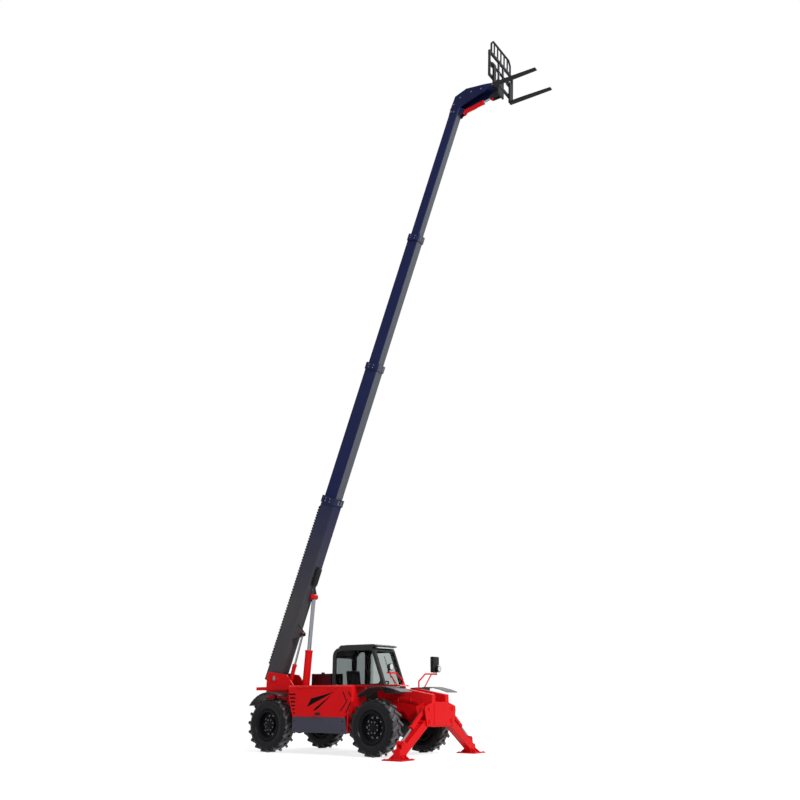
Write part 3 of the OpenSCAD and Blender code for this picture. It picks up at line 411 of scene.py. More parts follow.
class Form:
    """A bmesh form that is put together from plain solids."""

    def __init__(self) -> None:
        """Starts empty."""
        self.bm = bmesh.new()

    def rod(self, start: Point, end: Point, radius: float, sides: int = 16, bevel: float = 0.0) -> None:
        """Adds a round or polygonal rod.

        Args:
            start: middle of the first end
            end: middle of the last end
            radius: rod radius
            sides: number of sides
            bevel: chamfer of the end edges
        """
        start, end = Vector(start), Vector(end)
        along = end - start
        made = bmesh.ops.create_cone(
            self.bm, cap_ends=True, segments=sides, radius1=radius, radius2=radius, depth=along.length,
            matrix=axis_frame((start + end) / 2, along),
        )
        if bevel > 0.0:
            caps = {f for v in made["verts"] for f in v.link_faces if len(f.verts) > 4}
            self._soften({e for f in caps for e in f.edges}, bevel, 2)

    def block(self, low: Point, high: Point, bevel: float = 0.004, segments: int = 2) -> None:
        """Adds a block with rounded edges.

        Args:
            low: lowest corner
            high: highest corner
            bevel: edge radius
            segments: facets of the edge
        """
        low, high = Vector(low), Vector(high)
        size = Matrix.Diagonal((*(high - low), 1.0))
        made = bmesh.ops.create_cube(self.bm, size=1.0, matrix=Matrix.Translation((low + high) / 2) @ size)
        self._soften({e for v in made["verts"] for e in v.link_edges}, bevel, segments)

    def _soften(self, edges: set, offset: float, segments: int) -> None:
        """Bevels edges.

        Args:
            edges: the edges
            offset: bevel width
            segments: facets of the bevel
        """
        bmesh.ops.bevel(
            self.bm, geom=list(edges), offset=offset, offset_type="OFFSET", segments=segments, profile=0.5,
            affect="EDGES", material=-1,
        )

    def plate(self, outline: list[Vector], depth: Vector) -> None:
        """Adds a plate from its outline.

        Args:
            outline: corners of one face
            depth: way to the other face
        """
        face = self.bm.faces.new([self.bm.verts.new(p) for p in outline])
        grown = bmesh.ops.extrude_face_region(self.bm, geom=[face], use_keep_orig=True)
        verts = [g for g in grown["geom"] if isinstance(g, bmesh.types.BMVert)]
        bmesh.ops.translate(self.bm, verts=verts, vec=depth)

    def turned(
        self, middle: Point, axis: Vector, profile: Pairs, closed: bool = True, steps: int = 32,
    ) -> None:
        """Adds a turned form.

        Args:
            middle: point on the axis
            axis: way of the axis
            profile: radius and height of each profile point
            closed: whether the profile is a loop
            steps: facets round the axis
        """
        part = Form()
        bm = part.bm
        verts = [bm.verts.new((r, 0.0, h)) for r, h in profile]
        pairs = zip(verts, verts[1:] + (verts[:1] if closed else []))
        bmesh.ops.spin(
            bm, geom=verts + [bm.edges.new(pair) for pair in pairs], cent=(0.0, 0.0, 0.0), axis=UP,
            dvec=(0.0, 0.0, 0.0), angle=2.0 * math.pi, steps=steps, use_merge=True, use_duplicate=False,
        )
        bmesh.ops.remove_doubles(bm, verts=bm.verts[:], dist=1e-5)
        bmesh.ops.transform(bm, matrix=axis_frame(Vector(middle), axis), verts=bm.verts[:])
        bmesh.ops.recalc_face_normals(bm, faces=bm.faces[:])
        mesh = part.mesh("turned")
        self.bm.from_mesh(mesh)
        bpy.data.meshes.remove(mesh)

    def pipe(self, points: list[Vector], radius: float, sides: int = 10) -> None:
        """Adds a bent pipe with round elbows.

        Args:
            points: its ends and bends
            radius: pipe radius
            sides: facets round it
        """
        for start, end in zip(points, points[1:]):
            self.rod(start, end, radius, sides)
        for bend in points[1:-1]:
            elbow = Matrix.Translation(bend)
            bmesh.ops.create_icosphere(self.bm, subdivisions=2, radius=radius * 1.02, matrix=elbow)

    def bolt(self, spot: Point, out: Vector, radius: float = 0.011) -> None:
        """Adds a hexagon bolt head on its washer.

        Args:
            spot: where it meets the surface
            out: way out of the surface, of length 1
            radius: radius of the head
        """
        foot = Vector(spot)
        self.rod(foot, foot + out * radius * 0.25, radius * 1.5, 16)
        self.rod(foot, foot + out * radius * 0.95, radius, 6, radius * 0.14)

    def keeper(self, spot: Vector, out: Vector, along: Vector, radius: float, plate_t: float = 0.009) -> None:
        """Adds a pin's end with its keeper plate and bolts.

        Args:
            spot: middle of the pin where it comes out
            out: way out, of length 1
            along: way of the keeper plate, of length 1
            radius: pin radius
            plate_t: thickness of the keeper plate
        """
        self.rod(spot, spot + out * 0.014, radius, 28, 0.003)
        across = out.cross(along)
        middle = spot + along * radius * 0.95
        reach, half = radius * 0.95, radius * 0.32
        self.plate([middle + across * sx * reach + along * sy * half for sx, sy in CORNERS], out * plate_t)
        for k in SIDES:
            self.bolt(middle + across * k * reach * 0.68 + out * plate_t, out, radius * 0.2)

    def mesh(self, name: str) -> bpy.types.Mesh:
        """Makes a mesh of the form, which is freed.

        Args:
            name: mesh name

        Returns:
            The mesh.
        """
        mesh = bpy.data.meshes.new(name)
        self.bm.to_mesh(mesh)
        self.bm.free()
        return mesh

    def ride(
        self, name: str, finish: Finishes, body: str = "chassis", place: Matrix | None = None,
        smooth: float = 35.0,
    ) -> bpy.types.Object:
        """Makes an object of the form, which is freed, and lets it ride.

        Args:
            name: piece name
            finish: its finish
            body: CAD body that it rides on
            place: frame that the form was built in
            smooth: largest angle shaded smooth, in degrees

        Returns:
            The object.
        """
        bm = self.bm
        if place is not None:
            bmesh.ops.transform(bm, matrix=place, verts=bm.verts[:])
        bmesh.ops.recalc_face_normals(bm, faces=bm.faces[:])
        limit = math.radians(smooth)
        for face in bm.faces:
            face.smooth = True
        for edge in bm.edges:
            if len(edge.link_faces) == 2 and edge.calc_face_angle(0.0) > limit:
                edge.smooth = False
        mesh = self.mesh(name)
        mesh.materials.append(finish.material())
        obj = placed(name, mesh)
        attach(obj, body)
        LOG.info("%s rides on %s", name, body)
        return obj


@dataclass
class WheelFittings:
    """Nuts, hub cap, valve and sidewall ribs of every wheel."""

    wheel_y: float = 0.968
    nut_ring: float = 0.205
    nuts: int = 10
    hub_ring: float = 0.112
    hub_bolts: int = 8
    valve_r: float = 0.255
    cap: Pairs = ((0.0, 0.109), (0.058, 0.109), (0.053, 0.120), (0.032, 0.126), (0.0, 0.128))
    ribs: Pairs = ((0.395, 0.193), (0.455, 0.1985))
    bead: Pairs = ((-0.006, -0.005), (-0.003, 0.004), (0.003, 0.004), (0.006, -0.005))

    def build(self) -> None:
        """Builds the fittings of the four wheels."""
        for name in WHEELS:
            ahead = 1.0 if name.startswith("front") else -1.0
            out = LEFT if name.endswith("left") else -LEFT
            self._wheel(name, at(ahead * AXLE_X, out.y * self.wheel_y, AXLE_Z), out)

    def _wheel(self, name: str, middle: Vector, out: Vector) -> None:
        """Builds one wheel's fittings.

        Args:
            name: wheel name
            middle: wheel centre
            out: way out of the machine
        """
        body = f"wheel_{name}"
        heads, cap, ribs = Form(), Form(), Form()
        for spot in ring(self.nuts, self.nut_ring):
            foot = middle + spot + out * 0.034
            heads.bolt(foot, out, 0.018)
            heads.rod(foot, foot + out * 0.030, 0.009, 10, 0.001)
        for spot in ring(self.hub_bolts, self.hub_ring, 0.5):
            heads.bolt(middle + spot + out * 0.097, out, 0.010)
        heads.ride(f"wheel_bolts_{name}", Finishes.STEEL, body)
        cap.turned(middle, out, self.cap, False)
        stem = middle + UP * self.valve_r + out * 0.042
        cap.rod(stem, stem + out * 0.034, 0.006, 10, 0.001)
        cap.ride(f"hub_cap_{name}", Finishes.RIM, body)
        for radius, height in self.ribs:
            bead = tuple((radius + r, height + h) for r, h in self.bead)
            for way in (out, -out):
                ribs.turned(middle, way, bead, True, 72)
        ribs.ride(f"tyre_ribs_{name}", Finishes.TYRE, body)


@dataclass
class AxleFittings:
    """Flange with bolts round each differential."""

    bolts: int = 16
    bolt_ring: float = 0.205
    half_t: float = 0.012
    flange: Pairs = ((0.188, -0.012), (0.216, -0.012), (0.216, 0.012), (0.188, 0.012))

    def build(self) -> None:
        """Builds both flanges."""
        flange, heads = Form(), Form()
        for x in (-AXLE_X, AXLE_X):
            middle = at(x, 0.0, AXLE_Z)
            flange.turned(middle, LEFT, self.flange, True, 48)
            for spot in ring(self.bolts, self.bolt_ring):
                for k in SIDES:
                    heads.bolt(middle + spot + LEFT * k * self.half_t, LEFT * k, 0.008)
        flange.ride("axle_flanges", Finishes.CAST)
        heads.ride("axle_bolts", Finishes.STEEL)


@dataclass
class BoomFittings:
    """Collar plates, hose rail, clevis bosses, guard and head fittings of the boom."""

    place: Matrix = field(default_factory=boom_frame)
    width: float = 0.316
    depth: float = 0.456
    width_step: float = 0.032
    depth_step: float = 0.060
    middle_n: float = 0.174
    collar_t: float = 0.026
    pad_t: float = 0.009
    collars: tuple[tuple[str, float], ...] = (("boom_base", 4.650), ("boom_2", 8.280), ("boom_3", 11.910))
    rail_pitch: float = 0.070
    rail_ends: Pair = (0.22, 4.36)
    head_bolts: Pairs = (
        (15.48, 0.17), (15.48, 0.26), (15.70, 0.24), (15.90, 0.10), (16.06, -0.20), (16.13, -0.50),
    )

    def build(self) -> None:
        """Builds every fitting of the boom."""
        for i, (body, end) in enumerate(self.collars):
            self._collar(i, body, end)
        self._rail()
        self._clevis("lift_clevis", Finishes.RED, LIFT_EYE, (-0.004, 0.144), 0.036, 0.066, 0.014)
        self._clevis("level_clevis", Finishes.MAROON, LEVEL_EYE, (-0.144, -0.036), 0.024, 0.046, 0.012)
        self._guard()
        self._head()
        self._pivots()

    def _collar(self, i: int, body: str, end: float) -> None:
        """Builds the wear pad plates of one collar.

        Args:
            i: section number
            body: body that carries the collar
            end: where the collar ends along the boom
        """
        half_w = (self.width - i * self.width_step) / 2 + self.collar_t
        half_d = (self.depth - i * self.depth_step) / 2 + self.collar_t
        plates, heads = Form(), Form()
        s0, s1 = end - 0.150, end - 0.030
        rows = (s0 + 0.025, s1 - 0.025)
        for k in SIDES:
            top = k * (half_w + self.pad_t)
            low, high = sorted((k * half_w, top))
            for n in (self.middle_n - 0.075, self.middle_n + 0.075):
                plates.block((s0, low, n - 0.055), (s1, high, n + 0.055), 0.003, 1)
                for s in rows:
                    heads.bolt((s, top, n), LEFT * k)
            face = self.middle_n + k * half_d
            top = face + k * self.pad_t
            low, high = sorted((face, top))
            for y in (-0.055, 0.055):
                plates.block((s0, y - 0.040, low), (s1, y + 0.040, high), 0.003, 1)
                for s in rows:
                    heads.bolt((s, y, top), UP * k)
        plates.ride(f"collar_pads_{i + 1}", Finishes.NAVY, body, self.place)
        heads.ride(f"collar_bolts_{i + 1}", Finishes.STEEL, body, self.place)

    def _rail(self) -> None:
        """Builds the ribbed hose carrier on the back of the base section and the pipe clamp bolts."""
        back = self.middle_n + self.depth / 2
        s0, s1 = self.rail_ends
        rail, heads = Form(), Form()
        rail.block((s0, -0.150, back - 0.001), (s1, -0.106, back + 0.010), 0.002, 1)
        for i in range(int((s1 - s0) / self.rail_pitch)):
            s = s0 + 0.014 + i * self.rail_pitch
            rail.block((s, -0.149, back + 0.009), (s + 0.042, -0.107, back + 0.040), 0.006, 1)
        rail.ride("hose_carrier", Finishes.DARK, "boom_base", self.place)
        for i in range(5):
            for y in (-0.050, 0.006):
                heads.bolt((0.455 + i * 0.9075, y, back + 0.040), UP, 0.009)
        heads.ride("pipe_clamp_bolts", Finishes.STEEL, "boom_base", self.place)

    def _clevis(
        self, name: str, finish: Finishes, eye: Pair, faces: Pair, pin_r: float,
        boss_r: float, boss_t: float,
    ) -> None:
        """Builds the bosses and pin keepers outside a pair of lugs.

        Args:
            name: piece name
            finish: its finish
            eye: where the pin is, along the boom and above its line
            faces: outer faces of the right and the left lug
            pin_r: pin radius
            boss_r: boss radius
            boss_t: boss height
        """
        bosses = Form()
        sides, bevel = (32, 0.004) if boss_r > 0.05 else (28, 0.003)
        for y, k in zip(faces, SIDES):
            foot = Vector((eye[0], y, eye[1]))
            bosses.rod(foot, foot + LEFT * k * boss_t, boss_r, sides, bevel)
            bosses.keeper(foot + LEFT * k * boss_t, LEFT * k, AHEAD, pin_r)
        bosses.ride(name, finish, "boom_base", self.place)

    def _guard(self) -> None:
        """Builds the hose guard under the base section, ahead of the lift eye."""
        belly = self.middle_n - self.depth / 2
        guard, heads = Form(), Form()
        guard.block((2.42, -0.075, belly - 0.092), (2.86, 0.075, belly + 0.001), 0.022, 3)
        guard.block((2.40, -0.105, belly - 0.010), (2.88, 0.105, belly + 0.001), 0.003, 1)
        guard.ride("hose_guard", Finishes.TRIM, "boom_base", self.place)
        for s in (2.44, 2.64, 2.84):
            for y in (-0.090, 0.090):
                heads.bolt((s, y, belly - 0.010), -UP, 0.010)
        heads.ride("hose_guard_bolts", Finishes.STEEL, "boom_base", self.place)

    def _head(self) -> None:
        """Builds the plate bolts, pin keepers and valve block of the boom head."""
        heads, valve = Form(), Form()
        for k in SIDES:
            for s, n in self.head_bolts:
                heads.bolt((s, k * 0.108, n), LEFT * k, 0.016)
            heads.keeper(Vector((TILT_PIVOT[0], k * 0.158, TILT_PIVOT[2])), LEFT * k, UP, 0.034)
        heads.ride("head_bolts", Finishes.STEEL, "boom_tip", self.place)
        valve.block((15.57, -0.070, 0.304), (15.632, 0.070, 0.352), 0.005)
        for y in (-0.045, 0.0, 0.045):
            foot = Vector((15.60, y, 0.350))
            valve.rod(foot, foot + UP * 0.016, 0.015, 6, 0.002)
            valve.rod(foot, foot + UP * 0.034, 0.009, 12, 0.002)
        valve.ride("head_valve", Finishes.TRIM, "boom_tip", self.place)

    def _pivots(self) -> None:
        """Builds the pin ends and keepers on the chassis ears."""
        pins = Form()
        boom = (BOOM_PIVOT[0], BOOM_PIVOT[2])
        ends = ((boom, 0.258, 0.045), (LIFT_BASE, 0.254, 0.040), (LEVEL_BASE, 0.254, 0.030))
        for (x, z), y, radius in ends:
            for k in SIDES:
                pins.keeper(at(x, k * y, z), LEFT * k, UP, radius)
        pins.ride("pivot_keepers", Finishes.STEEL)


@dataclass(frozen=True)
class Ram:
    """One hydraulic cylinder: where it runs, its sizes and the side its pipe is on."""

    barrel: str
    rod: str
    base: Vector
    tip: Vector
    radius: float
    length: float
    eye_r: float
    eye_half: float
    eye_finish: Finishes
    pipe_side: Vector | None


@dataclass
class RamFittings:
    """Ports, pipes and eye sleeves of the cylinders."""

    lift_y: float = 0.070
    level_y: float = -0.090
    tilt_base: Triple = (15.520, 0.0, -0.100)
    tilt_eye: Triple = (-0.130, 0.0, -0.288)

    def rams(self) -> list[Ram]:
        """Lists the cylinders.

        Returns:
            The cylinders.
        """
        boom = boom_frame()

        def eye(spot: Pair, y: float) -> Vector:
            """Gives a point on the boom."""
            return boom @ Vector((spot[0], y, spot[1]))

        rams = [
            Ram("lift_barrel", "lift_rod", at(LIFT_BASE[0], self.lift_y, LIFT_BASE[1]),
                eye(LIFT_EYE, self.lift_y), 0.090, 1.388, 0.072, 0.050, Finishes.RED, LEFT),
            Ram("level_barrel", "level_rod", at(LEVEL_BASE[0], self.level_y, LEVEL_BASE[1]),
                eye(LEVEL_EYE, self.level_y), 0.050, 0.887, 0.046, 0.036, Finishes.MAROON, -LEFT),
            Ram("boom_tip", "tilt_rod", boom @ Vector(self.tilt_base), fork_frame() @ Vector(self.tilt_eye),
                0.058, 0.598, 0.046, 0.040, Finishes.RED, None),
        ]
        for name, k in HANDS:
            base, tip = (at(LEG_X, k * y, z) for y, z in (LEG_RAM, LEG_EYE))
            rams.append(Ram(f"leg_barrel_{name}", f"leg_rod_{name}", base, tip,
                            0.052, 0.640, 0.044, 0.038, Finishes.RED, UP))
        return rams

    def build(self) -> None:
        """Builds the fittings of every cylinder."""
        for ram in self.rams():
            place = aimed_frame(ram.base, ram.tip)
            bore, skin, half = ram.eye_r * 0.70, ram.eye_r + 0.0025, ram.eye_half
            sleeve = ((bore, 0.0), (skin, 0.0), (skin, half - 0.003), (ram.eye_r - 0.001, half), (bore, half))
            sleeves = Form()
            for k in SIDES:
                sleeves.turned(AHEAD * (ram.tip - ram.base).length, LEFT * k, sleeve, True, 40)
            sleeves.ride(f"eye_sleeve_{ram.rod}", ram.eye_finish, ram.rod, place)
            if ram.pipe_side is not None:
                self._pipe(ram, place)

    def _pipe(self, ram: Ram, place: Matrix) -> None:
        """Builds the ports and the pipe beside a barrel.

        Args:
            ram: the cylinder
            place: its frame
        """
        out = ram.pipe_side
        first, last = 0.16, ram.length - 0.07
        line = Form()
        for t in (first, last):
            foot = AHEAD * t + out * (ram.radius - 0.004)
            line.rod(foot, foot + out * 0.016, 0.020, 24, 0.002)
            line.rod(foot, foot + out * 0.026, 0.013, 6, 0.001)
        lift = out * (ram.radius + 0.014)
        line.pipe([AHEAD * first + lift, AHEAD * last + lift], 0.007)
        for share in (0.33, 0.67):
            middle = AHEAD * (first + (last - first) * share) + lift
            line.rod(middle - AHEAD * 0.012, middle + AHEAD * 0.012, 0.012, 12, 0.002)
        line.ride(f"ram_pipe_{ram.barrel}", Finishes.TRIM, ram.barrel, place)


@dataclass
class CarriageFittings:
    """Bolts and fork stops of the carriage."""

    face_u: float = 0.160
    rails: Pair = (-0.057, 0.652)
    shaft: Pair = (0.138, 0.330)
    fork_y: float = 0.440
    fork_half: float = 0.062
    pad_y: float = 0.119
    stop: Pairs = ((0.033, 0.0), (0.050, 0.0), (0.050, 0.024), (0.033, 0.024))

    def build(self) -> None:
        """Builds the bolts and the stops beside each fork."""
        place = fork_frame()
        heads, stops = Form(), Form()
        for v in self.rails:
            for y in (-0.56, -0.25, 0.0, 0.25, 0.56):
                heads.bolt((self.face_u, y, v), AHEAD, 0.012)
        u, v = self.shaft
        for k in SIDES:
            for side in SIDES:
                y = k * self.fork_y + side * (self.fork_half + 0.006)
                stops.turned((u, y, v), LEFT * side, self.stop, True, 28)
            pad = k * self.pad_y
            stops.block((0.149, pad - 0.020, 0.13), (0.156, pad + 0.020, 0.58), 0.002, 1)
        heads.ride("carriage_bolts", Finishes.STEEL, "carriage", place)
        stops.ride("fork_stops", Finishes.STEEL, "carriage", place)


@dataclass
class StabiliserFittings:
    """Pin keepers, plate bolts and foot bolts of the stabilisers."""

    hinge: Pair = (0.450, 0.710)
    foot_y: float = 1.453
    foot_t: float = 0.026
    foot_bolt: float = 0.200

    def build(self) -> None:
        """Builds the fittings of the frame and of both legs."""
        pins = Form()
        for k in SIDES:
            for (y, z), radius in ((self.hinge, 0.032), (LEG_RAM, 0.026)):
                pins.keeper(at(LEG_X + 0.130, k * y, z), AHEAD, UP, radius)
                pins.keeper(at(LEG_X - 0.117, k * y, z), -AHEAD, UP, radius)
            for z in (0.675, 1.055):
                pins.bolt(at(LEG_X + 0.128, k * 0.235, z), AHEAD, 0.010)
        pins.ride("stabiliser_pins", Finishes.RED)
        for name, k in HANDS:
            heads = Form()
            for side in SIDES:
                heads.keeper(at(LEG_X + side * 0.074, k * LEG_EYE[0], LEG_EYE[1]), AHEAD * side, UP, 0.024)
                for y in (self.foot_y - self.foot_bolt, self.foot_y + self.foot_bolt):
                    heads.bolt(at(LEG_X + side * self.foot_bolt, k * y, self.foot_t), UP, 0.013)
            heads.ride(f"foot_bolts_{name}", Finishes.RED, f"leg_{name}")


@dataclass
class PodFittings:
    """Dark blocks in the louvres as painted shade, chevron inlays, latch, bolts and deck grips of the engine
    side and the tanks.
    """

    louvres: int = 6
    louvre_z: float = 0.842
    louvre_pitch: float = 0.080
    band: float = 0.017
    chevrons: tuple[Pairs, ...] = (
        ((0.720, 1.320), (0.829, 1.118), (0.660, 0.915)),
        ((0.870, 1.320), (0.944, 1.206)),
        ((0.944, 1.112), (0.806, 0.880)),
    )
    fuel_cap: Pairs = (
        (0.0, 0.0), (0.060, 0.0), (0.060, 0.012), (0.052, 0.016), (0.050, 0.034), (0.044, 0.040),
        (0.0, 0.040),
    )
    oil_cap: Pairs = (
        (0.0, 0.0), (0.052, 0.0), (0.052, 0.010), (0.042, 0.013), (0.040, 0.036), (0.034, 0.041),
        (0.0, 0.041),
    )

    def build(self) -> None:
        """Builds the fittings of the engine side, then those of the tank side."""
        self._paint_slot_shade()
        self._latch()
        self._grips()
        self._tank()
        self._oil_box()

    def _paint_slot_shade(self) -> None:
        """Builds dark blocks in the louvre openings as painted shade, then the chevron inlays and the bolts.
        """
        slot_shade, inlays, heads = Form(), Form(), Form()
        # Painted shade: a dark block fills each louvre opening.
        for i in range(self.louvres):
            z = self.louvre_z + i * self.louvre_pitch
            x0 = -0.872 + max(0.0, 1.290 - z) * 0.354
            low, high = at(x0 + 0.003, POD_Y + 0.006, z + 0.001), at(-0.663, POD_Y + 0.0155, z + 0.033)
            slot_shade.block(low, high, 0.001, 1)
        slot_shade.ride("pod_slot_shade", Finishes.DARK)
        for line in self.chevrons:
            edge = [(x + self.band, z) for x, z in line] + [(x - self.band, z) for x, z in reversed(line)]
            inlays.plate([at(x, POD_Y + 0.001, z) for x, z in edge], LEFT * -0.0025)
        inlays.ride("pod_chevrons", Finishes.MAROON)
        for x in (-0.66, 0.72):
            for z in (0.52, 0.70):
                heads.bolt(at(x, POD_Y, z), -LEFT, 0.010)
        for x in (-0.70, -0.30, 0.10, 0.50, 0.90):
            heads.bolt(at(x, -0.300, 1.455), UP, 0.009)
        for y in (-0.40, 0.40):
            for z in (0.75, 1.02):
                heads.bolt(at(-2.450, y, z), -AHEAD, 0.016)
        heads.ride("body_bolts", Finishes.TRIM)

    def _latch(self) -> None:
        """Builds the cover's latch."""
        latch = Form()
        latch.block(at(-0.052, POD_Y - 0.016, 0.824), at(0.082, POD_Y - 0.0005, 0.880), 0.006)
        latch.block(at(-0.038, POD_Y - 0.023, 0.836), at(0.030, POD_Y - 0.015, 0.868), 0.005)
        lock = at(0.056, POD_Y - 0.015, 0.852)
        latch.rod(lock, lock - LEFT * 0.007, 0.013, 24, 0.002)
        latch.ride("cover_latch", Finishes.TRIM, "engine_cover")

    def _grips(self) -> None:
        """Builds the ribbed mat on the right deck and the treads of the left steps."""
        grips = Form()
        grips.block(at(0.86, -0.665, 1.4545), at(1.70, -0.400, 1.4585), 0.001, 1)
        for i in range(14):
            x = 0.875 + i * 0.059
            grips.block(at(x, -0.655, 1.458), at(x + 0.022, -0.410, 1.463), 0.002, 1)
        for low_y, z in ((0.840, 0.500), (0.910, 0.640)):
            for i in range(8):
                x = -0.145 + i * 0.062
                grips.block(at(x, low_y, z - 0.001), at(x + 0.030, 0.990, z + 0.006), 0.002, 1)
        grips.ride("deck_grips", Finishes.DARK)

    def _tank(self) -> None:
        """Builds the fuel cap on the tank side."""
        cap = Form()
        cap.turned(at(-0.52, 0.999, 0.62), LEFT, self.fuel_cap, False, 36)
        grip = at(-0.52, 1.038, 0.62)
        cap.block(grip - Vector((0.036, 0.0, 0.007)), grip + Vector((0.036, 0.014, 0.007)), 0.003)
        cap.ride("fuel_cap", Finishes.TRIM)

    def _oil_box(self) -> None:
        """Builds the oil box's lid, filler cap and bolts."""
        lid = Form()
        lid.block(at(-1.425, 0.295, 1.7245), at(-0.795, 0.765, 1.737), 0.004)
        lid.turned(at(-1.25, 0.53, 1.736), UP, self.oil_cap, False, 32)
        for x in (-1.39, -1.11, -0.83):
            for y in (0.325, 0.735):
                lid.bolt(at(x, y, 1.737), UP, 0.009)
        lid.ride("oil_box_lid", Finishes.MAROON)


@dataclass
class FenderLips:
    """Rolled edges of the fenders and the pipes beside the nose."""

    arch: Pairs = (
        (1.171, 1.270), (1.400, 1.384), (1.635, 1.418), (1.850, 1.409), (2.069, 1.365), (2.254, 1.307),
    )
    arch_y: float = 1.148
    nose_run: Pairs = ((1.12, 1.150), (1.80, 1.172), (2.18, 1.100), (2.262, 0.960))
    nose_y: float = 0.350
    rear_r: float = 0.711
    rear_y: float = 1.157
    rear_start: float = 62.0
    rear_sweep: float = 82.0
    rear_steps: int = 10

    def build(self) -> None:
        """Builds the lips of the four fenders and the nose pipes."""
        lips, pipes = Form(), Form()
        for k in SIDES:
            lips.pipe([at(x, k * self.arch_y, z) for x, z in self.arch], 0.010)
        lips.ride("front_fender_lips", Finishes.FENDER)
        steps, r = self.rear_steps, self.rear_r
        turns = [math.radians(self.rear_start + self.rear_sweep * i / steps) for i in range(steps + 1)]
        arc = [(-AXLE_X + r * math.cos(a), AXLE_Z + r * math.sin(a)) for a in turns]
        for name, k in HANDS:
            lip = Form()
            lip.pipe([at(x, k * self.rear_y, z) for x, z in arc], 0.010)
            lip.ride(f"rear_fender_lip_{name}", Finishes.FENDER, f"knuckle_rear_{name}")
        for k in SIDES:
            y = k * self.nose_y
            for drop in (0.0, 0.034):
                pipes.pipe([at(x, y, z - drop) for x, z in self.nose_run], 0.009)
            for x in (1.30, 1.62, 1.95):
                pipes.block(at(x, y - 0.014, 1.105), at(x + 0.035, y + 0.014, 1.190), 0.004, 1)
        pipes.ride("nose_pipes", Finishes.RED)


@dataclass
class LampFittings:
    """Lenses and rims of the headlamps, tail lamp lenses and the mirror's shell and glass."""

    lamp_x: float = 1.739
    lamp_z: float = 1.822
    lamp_y: Pair = (-0.890, 1.052)
    lens: Pairs = ((0.0, 0.1042), (0.0635, 0.1008), (0.0600, 0.109), (0.0380, 0.116), (0.0, 0.1185))
    rim: Pairs = ((0.0640, 0.0985), (0.0750, 0.0900), (0.0760, 0.1010), (0.0670, 0.1110))

    def build(self) -> None:
        """Builds the lamp and mirror fittings."""
        lens, rim, stop, turn, shell, glass = (Form() for _ in range(6))
        for y in self.lamp_y:
            middle = at(self.lamp_x, y, self.lamp_z)
            lens.turned(middle, AHEAD, self.lens, False, 36)
            rim.turned(middle, AHEAD, self.rim, True, 36)
        lens.ride("headlamp_lenses", Finishes.LENS)
        rim.ride("headlamp_rims", Finishes.BLACK)
        for k in SIDES:
            for lamp, inner, outer in ((stop, 0.406, 0.462), (turn, 0.466, 0.514)):
                low, high = sorted((k * inner, k * outer))
                lamp.block(at(-2.461, low, 1.138), at(-2.449, high, 1.222), 0.004)
        stop.ride("stop_lamps", Finishes.STOP)
        turn.ride("turn_lamps", Finishes.AMBER)
        shell.block(at(1.736, 0.910, 1.905), at(1.776, 1.160, 2.096), 0.018, 3)
        shell.block(at(1.736, 0.910, 1.748), at(1.774, 0.976, 1.930), 0.015, 3)
        shell.ride("mirror_shell", Finishes.TRIM)
        glass.block(at(1.683, 0.926, 1.765), at(1.6885, 1.142, 2.080), 0.002, 1)
        glass.ride("mirror_glass", Finishes.SILVER)


